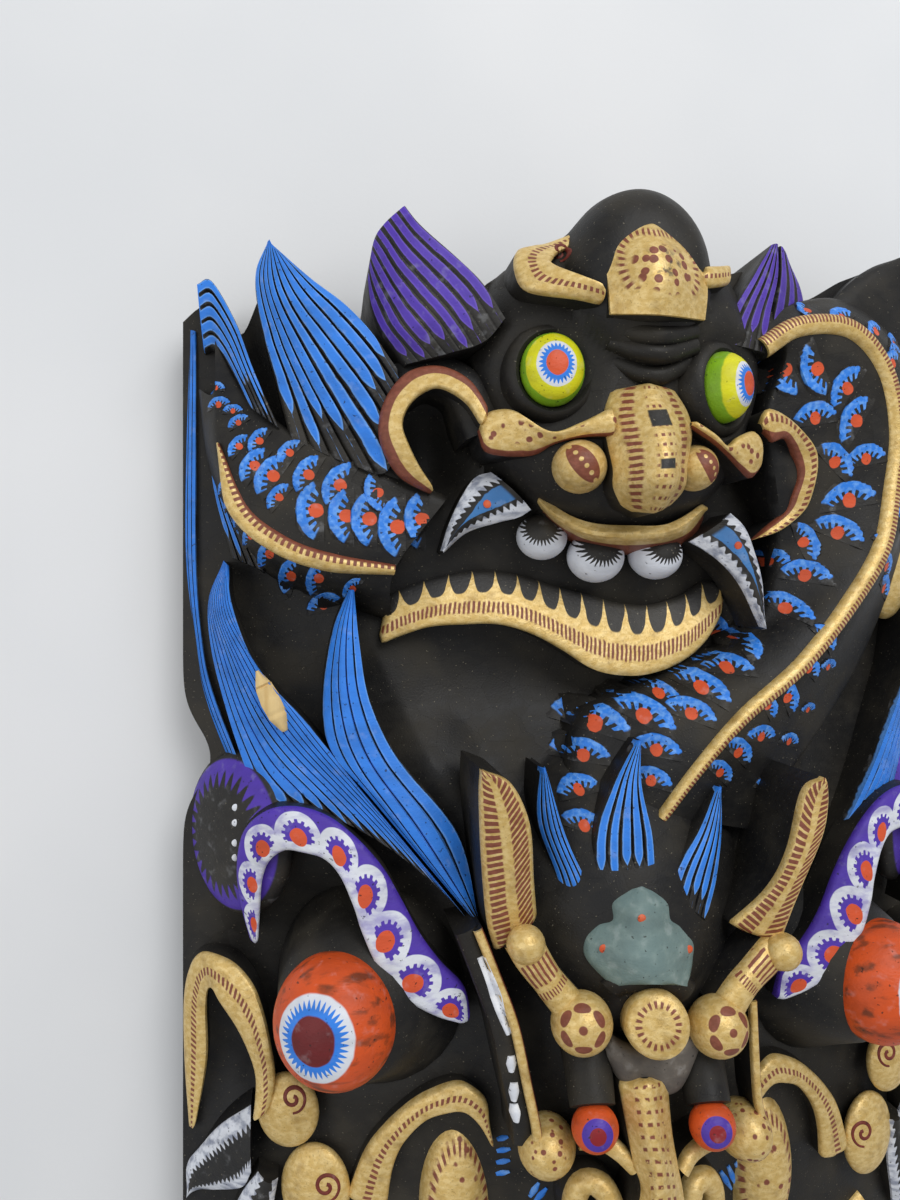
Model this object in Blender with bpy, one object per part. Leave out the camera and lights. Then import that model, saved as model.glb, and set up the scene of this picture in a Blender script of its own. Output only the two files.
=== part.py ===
"""A nuo mask carved from one block of wood.

A horned beast sits over the brow, two scaled bodies and blue fins wind around it, and a
dragon's head with stalked eyes comes down the nose of the large face below.  The mask lies
on its hollow back: +Z points out of the face, +Y to the crown, +X to the right as seen
from the front.  The origin is under the middle of the mask, on the plane of its back rim.

Free forms are placed in carving units, which are shares of the block's own size: 175 units
from the middle to a side, 271 from the middle to crown or chin, and 124 from rim to nose.
"""
import math

import bmesh
import bpy
import numpy as np
from mathutils import Vector

MM = 0.001

# The block
MASK_WIDTH = 350 * MM
MASK_HEIGHT = 542 * MM
RELIEF_HEIGHT = 124 * MM
EDGE_HEIGHT = 25 * MM

# The hollow back
RIM_WIDTH = 26 * MM
CROWN_RIM_WIDTH = 62 * MM
CHIN_RIM_WIDTH = 36 * MM
HOLLOW_HEIGHT = 62 * MM
WALL_THICKNESS = 17 * MM

# Cut grooves of fins, ears and hair
FLUTE_DEPTH = 2.4 * MM

# Round forms
EYE_RADIUS = 29 * MM
EYE_BULGE = 20 * MM
EYE_STALK_RADIUS = 43 * MM
BEAST_EYE_RADIUS = 14.5 * MM
DRAGON_EYE_RADIUS = 10.5 * MM
GOLD_BALL_RADIUS = 14 * MM
EAR_DISC_RADIUS = 36 * MM

# Fineness of the faceted surfaces
BLOCK_COLUMNS = 17
BLOCK_ROWS = 27
HOLLOW_COLUMNS = 8
HOLLOW_ROWS = 10
ROUND_SIDES = 10
ROUND_RINGS = 6
KNOB_SIDES = 8
KNOB_RINGS = 4

SIDE_UNITS = 175
END_UNITS = 271
RELIEF_UNITS = 124
UNIT = Vector((MASK_WIDTH / 2 / SIDE_UNITS, MASK_HEIGHT / 2 / END_UNITS,
               RELIEF_HEIGHT / RELIEF_UNITS))

# The beast's and the dragon's middle lines stand a little right of the mask's own
HEAD_AXIS = 2.5
# Every raised form reaches down into the block to this share of its own height
FOOT_SHARE = 0.32

# Height of the black ground along the middle line, from crown to chin (y, z)
GROUND_SPINE = [(290, 60), (240, 68), (195, 66), (150, 58), (110, 52), (70, 54), (25, 70),
                (-20, 74), (-80, 74), (-140, 70), (-200, 60), (-240, 50), (-290, 34)]
# Top outline of the block from left to right (x, y)
CROWN_LINE = [(-178, 232), (-164, 240), (-150, 226), (-137, 246), (-112, 226), (-87, 204),
              (-64, 220), (-46, 244), (-25, 258), (2, 270), (24, 262), (46, 246), (66, 234),
              (90, 246), (118, 260), (145, 269), (163, 256), (178, 236)]
# Where the straight sides turn into the chin
CHIN_CORNER = -150
SIDE_NOTCH_HEIGHT = 48


def place(point):
    """Turn a point in carving units into a vector in metres."""
    return Vector((point[0] * UNIT.x, point[1] * UNIT.y, point[2] * UNIT.z))


def smooth_path(points, count):
    """Return count points, evenly spaced, on a smooth curve through the given points."""
    knots = np.array(points, dtype=float)
    knots = np.vstack([2 * knots[0] - knots[1], knots, 2 * knots[-1] - knots[-2]])
    dense = []
    for a, b, c, d in zip(knots, knots[1:], knots[2:], knots[3:]):
        for t in np.linspace(0, 1, 10, endpoint=False):
            dense.append(0.5 * (2 * b + (c - a) * t + (2 * a - 5 * b + 4 * c - d) * t ** 2
                                + (3 * b - a - 3 * c + d) * t ** 3))
    dense = np.array(dense + [knots[-2]])
    steps = np.linalg.norm(np.diff(dense, axis=0), axis=1)
    along = np.concatenate([[0], np.cumsum(steps)])
    wanted = np.linspace(0, along[-1], count)
    return np.column_stack([np.interp(wanted, along, column) for column in dense.T])


def smooth_table(points):
    """Return a smooth function of one value through the given (value, result) points."""
    path = smooth_path(points, 300)
    path = path[np.argsort(path[:, 0])]
    return lambda value: float(np.interp(value, path[:, 0], path[:, 1]))


spine_height = smooth_table(GROUND_SPINE)
crown_line = smooth_table(CROWN_LINE)


def mound(x, y, centre, radii, power=1):
    """A bump of height 1 over an ellipse, square-shouldered with a higher power, else 0."""
    reach = math.hypot((x - centre[0]) / radii[0], (y - centre[1]) / radii[1])
    return math.sqrt(max(0.0, 1 - reach ** (2 * power)))


def dish(x, y, centre, radii):
    """A soft hollow of depth 1 that runs out smoothly at the edge of an ellipse."""
    reach = math.hypot((x - centre[0]) / radii[0], (y - centre[1]) / radii[1])
    return max(0.0, 1 - reach ** 2) ** 2


def ground(x, y):
    """Height of the black ground under the carving, all in carving units."""
    edge = EDGE_HEIGHT / UNIT.z
    share = min(1.0, abs(x) / SIDE_UNITS)
    z = edge + (spine_height(y) - edge) * (1 - share ** 2.2)
    face = mound(x, y, (HEAD_AXIS, 206), (62, 66), power=2)
    crown = mound(x, y, (HEAD_AXIS, 240), (46, 34))
    if face:
        z = max(z, 62 + 35 * face)
    if crown:
        z = max(z, 84 + 27 * crown)
    for side in (-1, 1):
        z -= 20 * dish(x, y, (side * 112, -34), (62, 56))
        z -= 14 * dish(x, y, (HEAD_AXIS + side * 74, 178), (26, 30))
        z -= 10 * dish(x, y, (side * 152, -76), (24, 44))
    z -= 8 * dish(x, y, (-8, 84), (80, 44))
    z += 19 * dish(x, y, (HEAD_AXIS, -64), (74, 130))
    z -= 16 * dish(x, y, (0, -212), (110, 34))
    return z


def side_share(y):
    """Share of the full half width that the block keeps at a height, at its side notches."""
    return 1 - 0.07 * math.exp(-((y - SIDE_NOTCH_HEIGHT) / 17) ** 2)


def chin_line(x, half_width, depth):
    """Bottom outline: straight sides that turn into a round chin."""
    share = min(1.0, abs(x) / half_width)
    return CHIN_CORNER - (depth + CHIN_CORNER) * math.sqrt(1 - share ** 2.6)


def patch_solid(columns, rows, top, foot):
    """Closed solid between two surfaces over the same grid.

    top and foot take the shares across and along, from 0 to 1, and return carving units.
    """
    bm = bmesh.new()
    bmesh.ops.create_grid(bm, x_segments=columns, y_segments=rows, size=1.0)
    lower = bm.verts[:]
    extruded = bmesh.ops.extrude_face_region(bm, geom=bm.faces[:])["geom"]
    upper = [item for item in extruded if isinstance(item, bmesh.types.BMVert)]
    for verts, surface in ((lower, foot), (upper, top)):
        for vert in verts:
            vert.co = place(surface((vert.co.x + 1) / 2, (vert.co.y + 1) / 2))
    return bm


def rails_solid(rails, along, across=2, crown=0.0, flutes=0):
    """A carved form over a fan of rails that run side by side from its root to its tip.

    crown domes it across, in units, and flutes cuts that many grooves along it.
    """
    paths = [smooth_path(rail, along + 1) for rail in rails]
    across = 2 * flutes if flutes else across
    rows = [smooth_path([path[row] for path in paths], across + 1)
            for row in range(along + 1)]

    def top(share, run):
        column = round(share * across)
        point = rows[round(run * along)][column].copy()
        point[2] += crown * (1 - (2 * share - 1) ** 2)
        if flutes and column % 2 == 0:
            point[2] -= FLUTE_DEPTH / UNIT.z
        return point

    def foot(share, run):
        point = rows[round(run * along)][round(share * across)].copy()
        point[2] *= FOOT_SHARE
        return point

    return patch_solid(across, along, top, foot)


def band_solid(spine, half_width, drop, along, taper=(1, 1, 1), across=2):
    """A half-round band along a spine, its edges drop lower than its middle."""
    path = smooth_path(spine, 2 * along + 1)
    heading = np.gradient(path[:, :2], axis=0)
    heading /= np.linalg.norm(heading, axis=1)[:, None]
    widths = half_width * np.interp(np.linspace(0, 1, len(path)),
                                    np.linspace(0, 1, len(taper)), taper)
    sideways = np.column_stack([-heading[:, 1] * widths, heading[:, 0] * widths,
                                np.full(len(path), -drop)])
    other = sideways * (-1, -1, 1)
    return rails_solid([path + sideways, path, path + other], along, across)


def facing(direction):
    """Rotation that turns +Z to the given direction."""
    return Vector((0, 0, 1)).rotation_difference(Vector(direction).normalized()).to_matrix()


def ball_solid(centre, radii, lean=(0, 0, 1), sides=ROUND_SIDES, rings=ROUND_RINGS):
    """A squashed ball, its centre in units, its radii in metres and its axis along lean."""
    bm = bmesh.new()
    bmesh.ops.create_uvsphere(bm, u_segments=sides, v_segments=rings, radius=1.0)
    bmesh.ops.scale(bm, verts=bm.verts, vec=Vector(radii))
    bmesh.ops.rotate(bm, verts=bm.verts, cent=(0, 0, 0), matrix=facing(lean))
    bmesh.ops.translate(bm, verts=bm.verts, vec=place(centre))
    return bm


def knob_solid(centre, radii):
    """A small squashed ball with fewer faces."""
    return ball_solid(centre, radii, sides=KNOB_SIDES, rings=KNOB_RINGS)


def drum_solid(foot, head, foot_radius, head_radius):
    """A tapered drum between two points in units, its radii in metres."""
    start, end = place(foot), place(head)
    bm = bmesh.new()
    bmesh.ops.create_cone(bm, cap_ends=True, segments=ROUND_SIDES, radius1=foot_radius,
                          radius2=head_radius, depth=(end - start).length)
    bmesh.ops.rotate(bm, verts=bm.verts, cent=(0, 0, 0), matrix=facing(end - start))
    bmesh.ops.translate(bm, verts=bm.verts, vec=(start + end) / 2)
    return bm


def mirrored(points, about=0.0):
    """The same points on the other side of a middle line."""
    return [(2 * about - point[0], *point[1:]) for point in points]


def both_sides(points, about=0.0):
    """The points as given, for the left, and mirrored, for the right."""
    return [("left", points), ("right", mirrored(points, about))]


def block():
    """The blank: the outline of the mask, with the black ground as its upper surface."""

    def surface(share, run):
        x = SIDE_UNITS * (2 * share - 1)
        low = chin_line(x, SIDE_UNITS, END_UNITS)
        y = low + (crown_line(x) - low) * run
        x *= side_share(y)
        return x, y, ground(x, y)

    def rim(share, run):
        x, y, _ = surface(share, run)
        return x, y, 0.0

    bm = patch_solid(BLOCK_COLUMNS, BLOCK_ROWS, surface, rim)
    back = [face for face in bm.faces if all(vert.co.z == 0 for vert in face.verts)]
    bmesh.ops.dissolve_faces(bm, faces=back)
    return bm


def hollow():
    """What is cut out of the back: a dome that keeps the wall and leaves a flat rim."""
    half_width = SIDE_UNITS - RIM_WIDTH / UNIT.x
    depth = END_UNITS - CHIN_RIM_WIDTH / UNIT.y
    height = END_UNITS - CROWN_RIM_WIDTH / UNIT.y
    wall = WALL_THICKNESS / UNIT.z

    def plan(share, run):
        x = half_width * (2 * share - 1)
        low = chin_line(x, half_width, depth)
        high = height * (1 - 0.34 * abs(x / half_width) ** 3)
        y = low + (high - low) * run
        return x * side_share(y), y

    def ceiling(share, run):
        x, y = plan(share, run)
        round_across = 1 - abs(2 * share - 1) ** 3
        round_along = 1 - abs(2 * run - 1) ** 4
        dome = HOLLOW_HEIGHT / UNIT.z * (0.2 + 0.8 * round_across * round_along)
        return x, y, min(dome, ground(x, y) - wall)

    def mouth(share, run):
        x, y = plan(share, run)
        return x, y, -RIM_WIDTH / UNIT.z

    return patch_solid(HOLLOW_COLUMNS, HOLLOW_ROWS, ceiling, mouth)


def top_fins():
    """The blue fins left of the beast and the black fin right of it."""
    yield "small_fin", rails_solid(
        [[(-168, 246, 40), (-166, 218, 40), (-154, 190, 44), (-140, 172, 48)],
         [(-155, 242, 46), (-142, 217, 53), (-133, 194, 57), (-122, 172, 60)]],
        along=4, crown=3, flutes=3)
    yield "big_fin", rails_solid(
        [[(-138, 257, 60), (-143, 236, 58), (-136, 206, 60), (-124, 178, 62), (-112, 156, 62)],
         [(-136, 257, 61), (-113, 234, 68), (-88, 210, 71), (-86, 190, 72), (-90, 156, 68)]],
        along=5, crown=5, flutes=5)
    yield "black_fin", rails_solid(
        [[(144, 271, 50), (124, 262, 56), (104, 240, 60)],
         [(146, 271, 50), (160, 244, 46), (154, 206, 46)]], along=4, crown=5)
    yield "right_fin", rails_solid(
        [[(158, 256, 40), (150, 226, 50), (146, 190, 54)],
         [(168, 252, 36), (170, 222, 34), (162, 184, 36)]], along=4, crown=3, flutes=3)


def beast_ears():
    """The purple ears of the beast; the right one is folded into two faces."""
    yield "ear_left", rails_solid(
        [[(-86, 266, 79), (-100, 246, 74), (-97, 222, 74), (-82, 198, 78)],
         [(-84, 266, 81), (-71, 252, 86), (-57, 236, 90), (-44, 214, 92)]],
        along=5, crown=3, flutes=3)
    yield "ear_right", rails_solid(
        [[(66, 261, 80), (58, 241, 85), (46, 222, 90), (36, 208, 92)],
         [(69, 261, 80), (76, 242, 79), (70, 222, 80), (52, 202, 88)]],
        along=5, crown=2, flutes=3)
    yield "ear_fold", rails_solid(
        [[(86, 261, 67), (74, 244, 78), (68, 222, 79), (54, 202, 84)],
         [(88, 261, 65), (97, 246, 62), (90, 222, 62), (70, 198, 70)]], along=5, crown=2)


def scaled_bodies():
    """The two scaled bodies with a gold rib along each."""
    left_rib = [(-160, 200, 50), (-158, 178, 54), (-149, 151, 62), (-133, 137, 68),
                (-114, 130, 71), (-88, 127, 70)]
    right_rib = [(58, 216, 91), (75, 226, 89), (100, 227, 85), (118, 212, 81), (125, 187, 79),
                 (122, 161, 80), (115, 136, 83), (97, 111, 87), (74, 88, 91), (48, 68, 94),
                 (28, 49, 96), (12, 31, 97)]
    yield "left_body", rails_solid(
        [[(-160, 222, 42), (-149, 196, 50), (-135, 179, 57), (-113, 165, 63), (-70, 150, 66)],
         [(x, y, z - 3) for x, y, z in left_rib],
         [(-168, 204, 34), (-164, 172, 34), (-153, 146, 38), (-136, 124, 44), (-88, 106, 54)]],
        along=7, across=4)
    yield "left_rib", band_solid(left_rib[1:], 4, 3, along=7, taper=(0.5, 1, 0.5))
    yield "right_body", rails_solid(
        [[(60, 224, 82), (70, 214, 82), (62, 190, 80), (67, 165, 78), (73, 134, 70),
          (60, 100, 68), (22, 82, 66), (-12, 66, 68), (-22, 24, 78)],
         [(x, y, z - 3) for x, y, z in right_rib],
         [(66, 236, 80), (110, 247, 62), (146, 224, 56), (154, 180, 52), (143, 135, 54),
          (126, 97, 58), (100, 62, 66), (60, 20, 76)]],
        along=11, across=4)
    yield "right_rib", band_solid(right_rib, 4, 3, along=12, taper=(1, 1, 0.6))


def flames():
    """The pairs of blue flames that lean over the brows."""
    yield "flame_outer_left", rails_solid(
        [[(-154, 131, 52), (-146, 113, 57), (-136, 84, 62), (-114, 56, 66), (-92, 34, 73),
          (-57, -14, 80)],
         [(-156, 131, 50), (-163, 100, 36), (-166, 76, 30), (-159, 48, 32), (-138, 28, 52),
          (-98, 22, 66), (-58, -19, 76)]], along=7, crown=4, flutes=4)
    yield "flame_inner_left", rails_solid(
        [[(-107, 117, 67), (-115, 92, 66), (-114, 60, 67), (-91, 33, 74), (-57, -13, 81)],
         [(-105, 117, 68), (-100, 92, 71), (-90, 66, 73), (-74, 40, 77), (-62, 14, 81),
          (-53, -14, 82)]], along=6, crown=3, flutes=4)
    yield "flame_outer_right", rails_solid(
        [[(154, 131, 50), (147, 112, 56), (141, 84, 60), (128, 56, 64), (112, 30, 69),
          (96, 8, 73)],
         [(156, 131, 48), (163, 100, 36), (166, 76, 30), (159, 46, 32), (142, 22, 50),
          (120, 8, 62), (97, 2, 68)]], along=6, crown=4, flutes=4)


def beast_face():
    """Crown plate, eyes, nose, cheeks, lip, teeth, tusks and jaw of the beast."""
    yield "crown_plate", rails_solid(
        [[(2, 256, 104), (-12, 249, 108), (-17, 237, 110), (-16, 219, 110)],
         [(2.5, 256, 108), (2.5, 246, 117), (2.5, 235, 120), (2.5, 219, 118)],
         [(3, 256, 104), (17, 250, 106), (22, 238, 109), (21, 219, 110)]], along=5)
    for side, outline in both_sides([(-13, 231, 109), (-24, 233, 104), (-33, 240, 98),
                                     (-39, 248, 90)], HEAD_AXIS):
        yield "crown_band_" + side, band_solid(outline, 6.5, 4, along=3, taper=(1, 1, 1.3))
    for side, centre in (("left", (-33, 199, 92)), ("right", (37, 197, 92))):
        yield "beast_eye_" + side, ball_solid(
            centre, (BEAST_EYE_RADIUS, BEAST_EYE_RADIUS, 0.9 * BEAST_EYE_RADIUS))
    yield "nose", band_solid([(3, 197, 98), (3, 182, 108), (3, 164, 117), (2, 147, 108)],
                             17, 9, along=5, taper=(0.8, 0.9, 1.05, 0.9), across=3)
    for side, centre in (("left", (-20, 167, 97)), ("right", (27, 165, 97))):
        yield "nostril_" + side, knob_solid(centre, (12 * MM, 11 * MM, 14 * MM))
    cheeks = (("left", [(-27, 174, 100), (-41, 178, 98), (-57, 184, 91)]),
              ("right", [(31, 173, 100), (45, 175, 98), (60, 180, 91)]))
    for side, spine in cheeks:
        yield "cheek_lobe_" + side, band_solid(spine, 8, 6, along=3)
    curls = (("left", [(-52, 180, 94), (-62, 196, 87), (-76, 201, 79), (-88, 194, 73),
                       (-93, 181, 70), (-87, 168, 69), (-74, 159, 72)]),
             ("right", [(56, 178, 94), (69, 188, 87), (82, 180, 80), (88, 164, 74),
                        (83, 149, 70), (67, 140, 68)]))
    for side, spine in curls:
        yield "cheek_curl_" + side, band_solid(spine, 6, 3, along=7)
    yield "upper_lip", band_solid([(-34, 157, 70), (-23, 148, 77), (-7, 140, 81),
                                   (9, 138, 82), (26, 141, 80), (41, 152, 73)],
                                  9, 8, along=6, taper=(0.5, 1, 0.5), across=3)
    for number, centre in enumerate([(-26, 139, 62), (-2, 130, 64), (23, 131, 63)]):
        yield f"tooth_{number}", knob_solid(centre, (12 * MM, 10 * MM, 12 * MM))
    yield "tusk_left", rails_solid(
        [[(-69, 134, 60), (-62, 150, 67), (-50, 162, 70)],
         [(-67, 133, 62), (-50, 139, 71), (-33, 149, 74)]], along=4, crown=5)
    yield "tusk_right", rails_solid(
        [[(76, 102, 57), (52, 126, 68), (33, 143, 74)],
         [(78, 103, 57), (73, 130, 66), (52, 152, 72)]], along=4, crown=5)
    yield "jaw", band_solid([(-94, 99, 55), (-66, 109, 59), (-40, 107, 62), (-14, 96, 66),
                             (14, 90, 67), (38, 97, 64), (57, 116, 58)],
                            9, 5, along=8, taper=(0.5, 0.7, 1, 1.1, 0.5))


def brows_and_eyes():
    """Ear discs, scalloped brow bands and the big eyes on their stalks."""
    for side, (spot,) in both_sides([(-150, 18, 38)]):
        yield "ear_disc_" + side, ball_solid(
            spot, (0.9 * EAR_DISC_RADIUS, EAR_DISC_RADIUS, 0.35 * EAR_DISC_RADIUS),
            lean=(math.copysign(0.72, spot[0]), 0, 0.7))
    brow = [(-143, -24, 55), (-147, 2, 62), (-142, 22, 70), (-130, 31, 76), (-112, 25, 80),
            (-97, 9, 84), (-86, -11, 87), (-75, -29, 87), (-60, -47, 83)]
    for side, spine in both_sides(brow, HEAD_AXIS):
        yield "brow_" + side, band_solid(spine, 9.5, 3, along=10, taper=(0.6, 1, 1, 1, 0.5))
    for side, (foot, head) in both_sides([(-90, -42, 36), (-112, -41, 83)]):
        yield "eye_stalk_" + side, drum_solid(foot, head, EYE_STALK_RADIUS, 1.04 * EYE_RADIUS)
        yield "eye_" + side, ball_solid(head, (EYE_RADIUS, EYE_RADIUS, EYE_BULGE),
                                        lean=(math.copysign(0.45, head[0]), 0.05, 0.89))


def dragon_head():
    """The dragon's hair, crest, horns, ears, stalked eyes and snout."""
    yield "hair_left", rails_solid(
        [[(-33, 50, 84), (-35, 30, 87), (-28, 8, 91), (-25, -14, 93)],
         [(-31, 50, 85), (-25, 26, 92), (-18, 10, 95), (-12, 0, 97)]], along=3, flutes=2)
    yield "hair_middle", rails_solid(
        [[(5, 60, 87), (-6, 44, 92), (-14, 26, 95), (-15, 4, 97)],
         [(7, 60, 87), (5, 44, 94), (8, 26, 98), (9, 8, 99)]], along=3, flutes=2)
    yield "hair_right", rails_solid(
        [[(38, 41, 88), (28, 26, 94), (17, 12, 98), (13, 2, 99)],
         [(40, 41, 88), (38, 24, 93), (34, 6, 97), (29, -8, 99)]], along=3, flutes=2)
    yield "leaf_left", rails_solid(
        [[(-64, 56, 113), (-63, 30, 107), (-60, 6, 101), (-51, -15, 96)],
         [(-61, 56, 114), (-46, 34, 113), (-41, 12, 107), (-36, -9, 99)]], along=5, crown=4)
    yield "leaf_right", rails_solid(
        [[(68, 49, 114), (60, 30, 109), (53, 8, 101), (39, -9, 96)],
         [(71, 49, 113), (74, 35, 112), (68, 12, 106), (59, -19, 97)]], along=5, crown=4)
    for name, centre, radius in (("crest_left", (-12, -13, 99), 12),
                                 ("crest_top", (2, 0, 97), 13),
                                 ("crest_right", (16, -14, 99), 12),
                                 ("crest_root", (2, -22, 101), 17)):
        yield name, knob_solid(centre, (radius * MM, radius * MM, 12 * MM))
    yield "gold_ball", drum_solid((1, -32, 84), (1, -38, 119), GOLD_BALL_RADIUS,
                                  0.92 * GOLD_BALL_RADIUS)
    yield "grey_lip", ball_solid((2, -54, 98), (19 * MM, 16 * MM, 11 * MM))
    horns = (("left", [(-49, -8, 107), (-42, -20, 113), (-34, -31, 115), (-26, -42, 116)]),
             ("right", [(57, -20, 105), (46, -21, 112), (37, -29, 115), (30, -42, 116)]))
    for side, spine in horns:
        yield "horn_" + side, band_solid(spine, 9, 7, along=4, taper=(1, 0.7, 1), across=3)
        yield "horn_ball_" + side, ball_solid(
            (spine[-1][0], spine[-1][1], 108),
            (GOLD_BALL_RADIUS, GOLD_BALL_RADIUS, 0.8 * GOLD_BALL_RADIUS))
    for side, (foot, head) in both_sides([(-21, -46, 84), (-19, -76, 111)], HEAD_AXIS):
        yield "dragon_stalk_" + side, drum_solid(foot, head, 1.15 * DRAGON_EYE_RADIUS,
                                                 DRAGON_EYE_RADIUS)
        yield "dragon_eye_" + side, ball_solid(
            head, (DRAGON_EYE_RADIUS, DRAGON_EYE_RADIUS, 0.8 * DRAGON_EYE_RADIUS),
            lean=(0, -0.5, 0.87))
    yield "snout", band_solid([(2.5, -60, 104), (2.5, -90, 111), (3, -125, 114),
                               (3, -158, 117), (3, -190, 100)],
                              9, 7, along=6, taper=(0.9, 0.9, 1.1, 2.2, 1.8), across=3)
    for side, (knob, nostril) in both_sides([(-32, -95, 93), (-17, -136, 98)],
                                            HEAD_AXIS + 1.5):
        yield "snout_knob_" + side, knob_solid(knob, (10 * MM, 13 * MM, 16 * MM))
        yield "snout_nostril_" + side, knob_solid(nostril, (14 * MM, 15 * MM, 16 * MM))


def lower_face():
    """Cheek scrolls, nose wings, tusks, lips and chin of the large face."""
    scroll = [(-167, -128, 30), (-168, -92, 33), (-166, -60, 36), (-158, -40, 43),
              (-146, -44, 50), (-138, -62, 57), (-134, -82, 61)]
    for side, spine in both_sides(scroll):
        yield "cheek_scroll_" + side, band_solid(spine, 6.5, 3, along=7,
                                                 taper=(0.8, 1, 0.9))
    for side, (upper, lower) in both_sides([(-127, -94, 54), (-120, -122, 56)], HEAD_AXIS):
        yield "scroll_blob_" + side, knob_solid(upper, (14 * MM, 14 * MM, 12 * MM))
        yield "lower_blob_" + side, knob_solid(lower, (17 * MM, 18 * MM, 12 * MM))
    arch = [(-110, -130, 62), (-93, -103, 70), (-77, -85, 75), (-64, -78, 78), (-54, -85, 79),
            (-49, -102, 79)]
    for side, spine in both_sides(arch, HEAD_AXIS):
        yield "nose_arch_" + side, band_solid(spine, 5, 3, along=6,
                                              taper=(1, 1.1, 0.5))
    for side, (wing,) in both_sides([(-64, -118, 66)], HEAD_AXIS):
        yield "nose_wing_" + side, ball_solid(wing, (15 * MM, 29 * MM, 20 * MM))
    for side, rails in both_sides([(-172, -134, 27), (-162, -110, 40), (-136, -88, 51),
                                   (-171, -137, 27), (-154, -128, 43), (-136, -107, 54)]):
        yield "cheek_tusk_" + side, rails_solid([rails[:3], rails[3:]], along=4, crown=4)
    tusk = [(-166, -196, 24), (-160, -172, 34), (-148, -148, 46), (-128, -124, 56),
            (-164, -198, 24), (-148, -186, 38), (-132, -164, 50), (-116, -140, 58)]
    for side, rails in both_sides(tusk):
        yield "mouth_tusk_" + side, rails_solid([rails[:4], rails[4:]], along=4, crown=6)
    yield "mouth_lip", band_solid([(-124, -158, 50), (-92, -178, 62), (-48, -190, 74),
                                   (2, -197, 80), (52, -190, 74), (96, -178, 62),
                                   (128, -158, 50)], 8, 5, along=9, taper=(0.6, 1, 1, 1, 0.6))
    for number in range(6):
        x = -55 + 23 * number
        yield f"mouth_tooth_{number}", knob_solid(
            (x, -209 + 0.004 * x * x, 60), (11 * MM, 10 * MM, 12 * MM))
    yield "chin_lip", band_solid([(-122, -188, 40), (-84, -222, 52), (-40, -238, 60),
                                  (2, -242, 62), (44, -238, 60), (88, -222, 52),
                                  (126, -188, 40)], 9, 6, along=9, taper=(0.6, 1, 1, 1, 0.6))


def painted_wood():
    """Black painted wood, the ground colour of the whole carving."""
    material = bpy.data.materials.new("black_painted_wood")
    material.use_nodes = True
    shader = material.node_tree.nodes["Principled BSDF"]
    shader.inputs["Base Color"].default_value = (0.022, 0.020, 0.019, 1)
    shader.inputs["Roughness"].default_value = 0.62
    shader.inputs["Metallic"].default_value = 0.0
    return material


def new_object(name, bm, collection):
    """Make an object of a bmesh with its faces pointing out, and free the bmesh."""
    bmesh.ops.remove_doubles(bm, verts=bm.verts, dist=0.00002)
    bmesh.ops.recalc_face_normals(bm, faces=bm.faces)
    mesh = bpy.data.meshes.new(name)
    bm.to_mesh(mesh)
    bm.free()
    made = bpy.data.objects.new(name, mesh)
    collection.objects.link(made)
    return made


def new_collection(name):
    """Make a collection in the scene."""
    collection = bpy.data.collections.new(name)
    bpy.context.scene.collection.children.link(collection)
    return collection


def add_boolean(target, operation, collection):
    """Add an exact Boolean of everything in a collection."""
    modifier = target.modifiers.new(operation.lower(), "BOOLEAN")
    modifier.operation = operation
    modifier.operand_type = "COLLECTION"
    modifier.collection = collection
    modifier.solver = "EXACT"


def as_cutter(tool):
    """Show an object as a guide only."""
    tool.display_type = "WIRE"
    tool.hide_render = True


def build_mask():
    """Carve the mask: raise every form on the block, then hollow its back."""
    parts = new_collection("nuo_mask")
    raised = new_collection("raised_forms")
    cutters = new_collection("hollow_cutters")
    mask = new_object("mask", block(), parts)
    mask.data.materials.append(painted_wood())
    for forms in (top_fins, beast_ears, scaled_bodies, flames, beast_face, brows_and_eyes,
                  dragon_head, lower_face):
        for name, bm in forms():
            as_cutter(new_object(name, bm, raised))
    as_cutter(new_object("hollow", hollow(), cutters))
    add_boolean(mask, "UNION", raised)
    add_boolean(mask, "DIFFERENCE", cutters)


for leftover in list(bpy.data.objects):
    bpy.data.objects.remove(leftover)
build_mask()
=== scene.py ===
"""A carved and painted nuo mask, lying on its back under soft studio light."""

import logging
import math
from collections.abc import Callable, Sequence
from dataclasses import dataclass, field
from enum import Enum

import bmesh
import bpy
import numpy as np
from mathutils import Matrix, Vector
from mathutils.bvhtree import BVHTree


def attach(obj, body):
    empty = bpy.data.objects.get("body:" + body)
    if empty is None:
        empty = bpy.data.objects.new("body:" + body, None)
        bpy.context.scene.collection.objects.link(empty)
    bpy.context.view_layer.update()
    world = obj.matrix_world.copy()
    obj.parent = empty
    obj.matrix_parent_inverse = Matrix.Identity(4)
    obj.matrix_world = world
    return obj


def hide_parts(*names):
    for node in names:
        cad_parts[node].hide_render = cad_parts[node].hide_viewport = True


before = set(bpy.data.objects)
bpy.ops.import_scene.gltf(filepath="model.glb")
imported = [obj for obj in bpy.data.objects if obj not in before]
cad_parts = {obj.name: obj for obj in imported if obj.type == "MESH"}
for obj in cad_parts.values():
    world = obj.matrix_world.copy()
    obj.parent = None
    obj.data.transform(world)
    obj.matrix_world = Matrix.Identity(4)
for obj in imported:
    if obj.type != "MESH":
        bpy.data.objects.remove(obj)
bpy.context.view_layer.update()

logging.basicConfig(level=logging.INFO, format="%(message)s")
log = logging.getLogger("nuo_mask")

MM = 0.001
HALF_WIDTH = 175.0
HALF_HEIGHT = 271.0
TOP_HEIGHT = 121.0
EDGE_HEIGHT = 25.0
# The walls of a form stop this far above the ground that the mask lies on
FOOT_HEIGHT = 2.0
# Heights are measured from this far up, in m, clear of every form
SOUNDING_HEIGHT = 0.3
# The beast's and the dragon's middle lines stand a little right of the mask's own
HEAD_AXIS = 2.5

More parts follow.
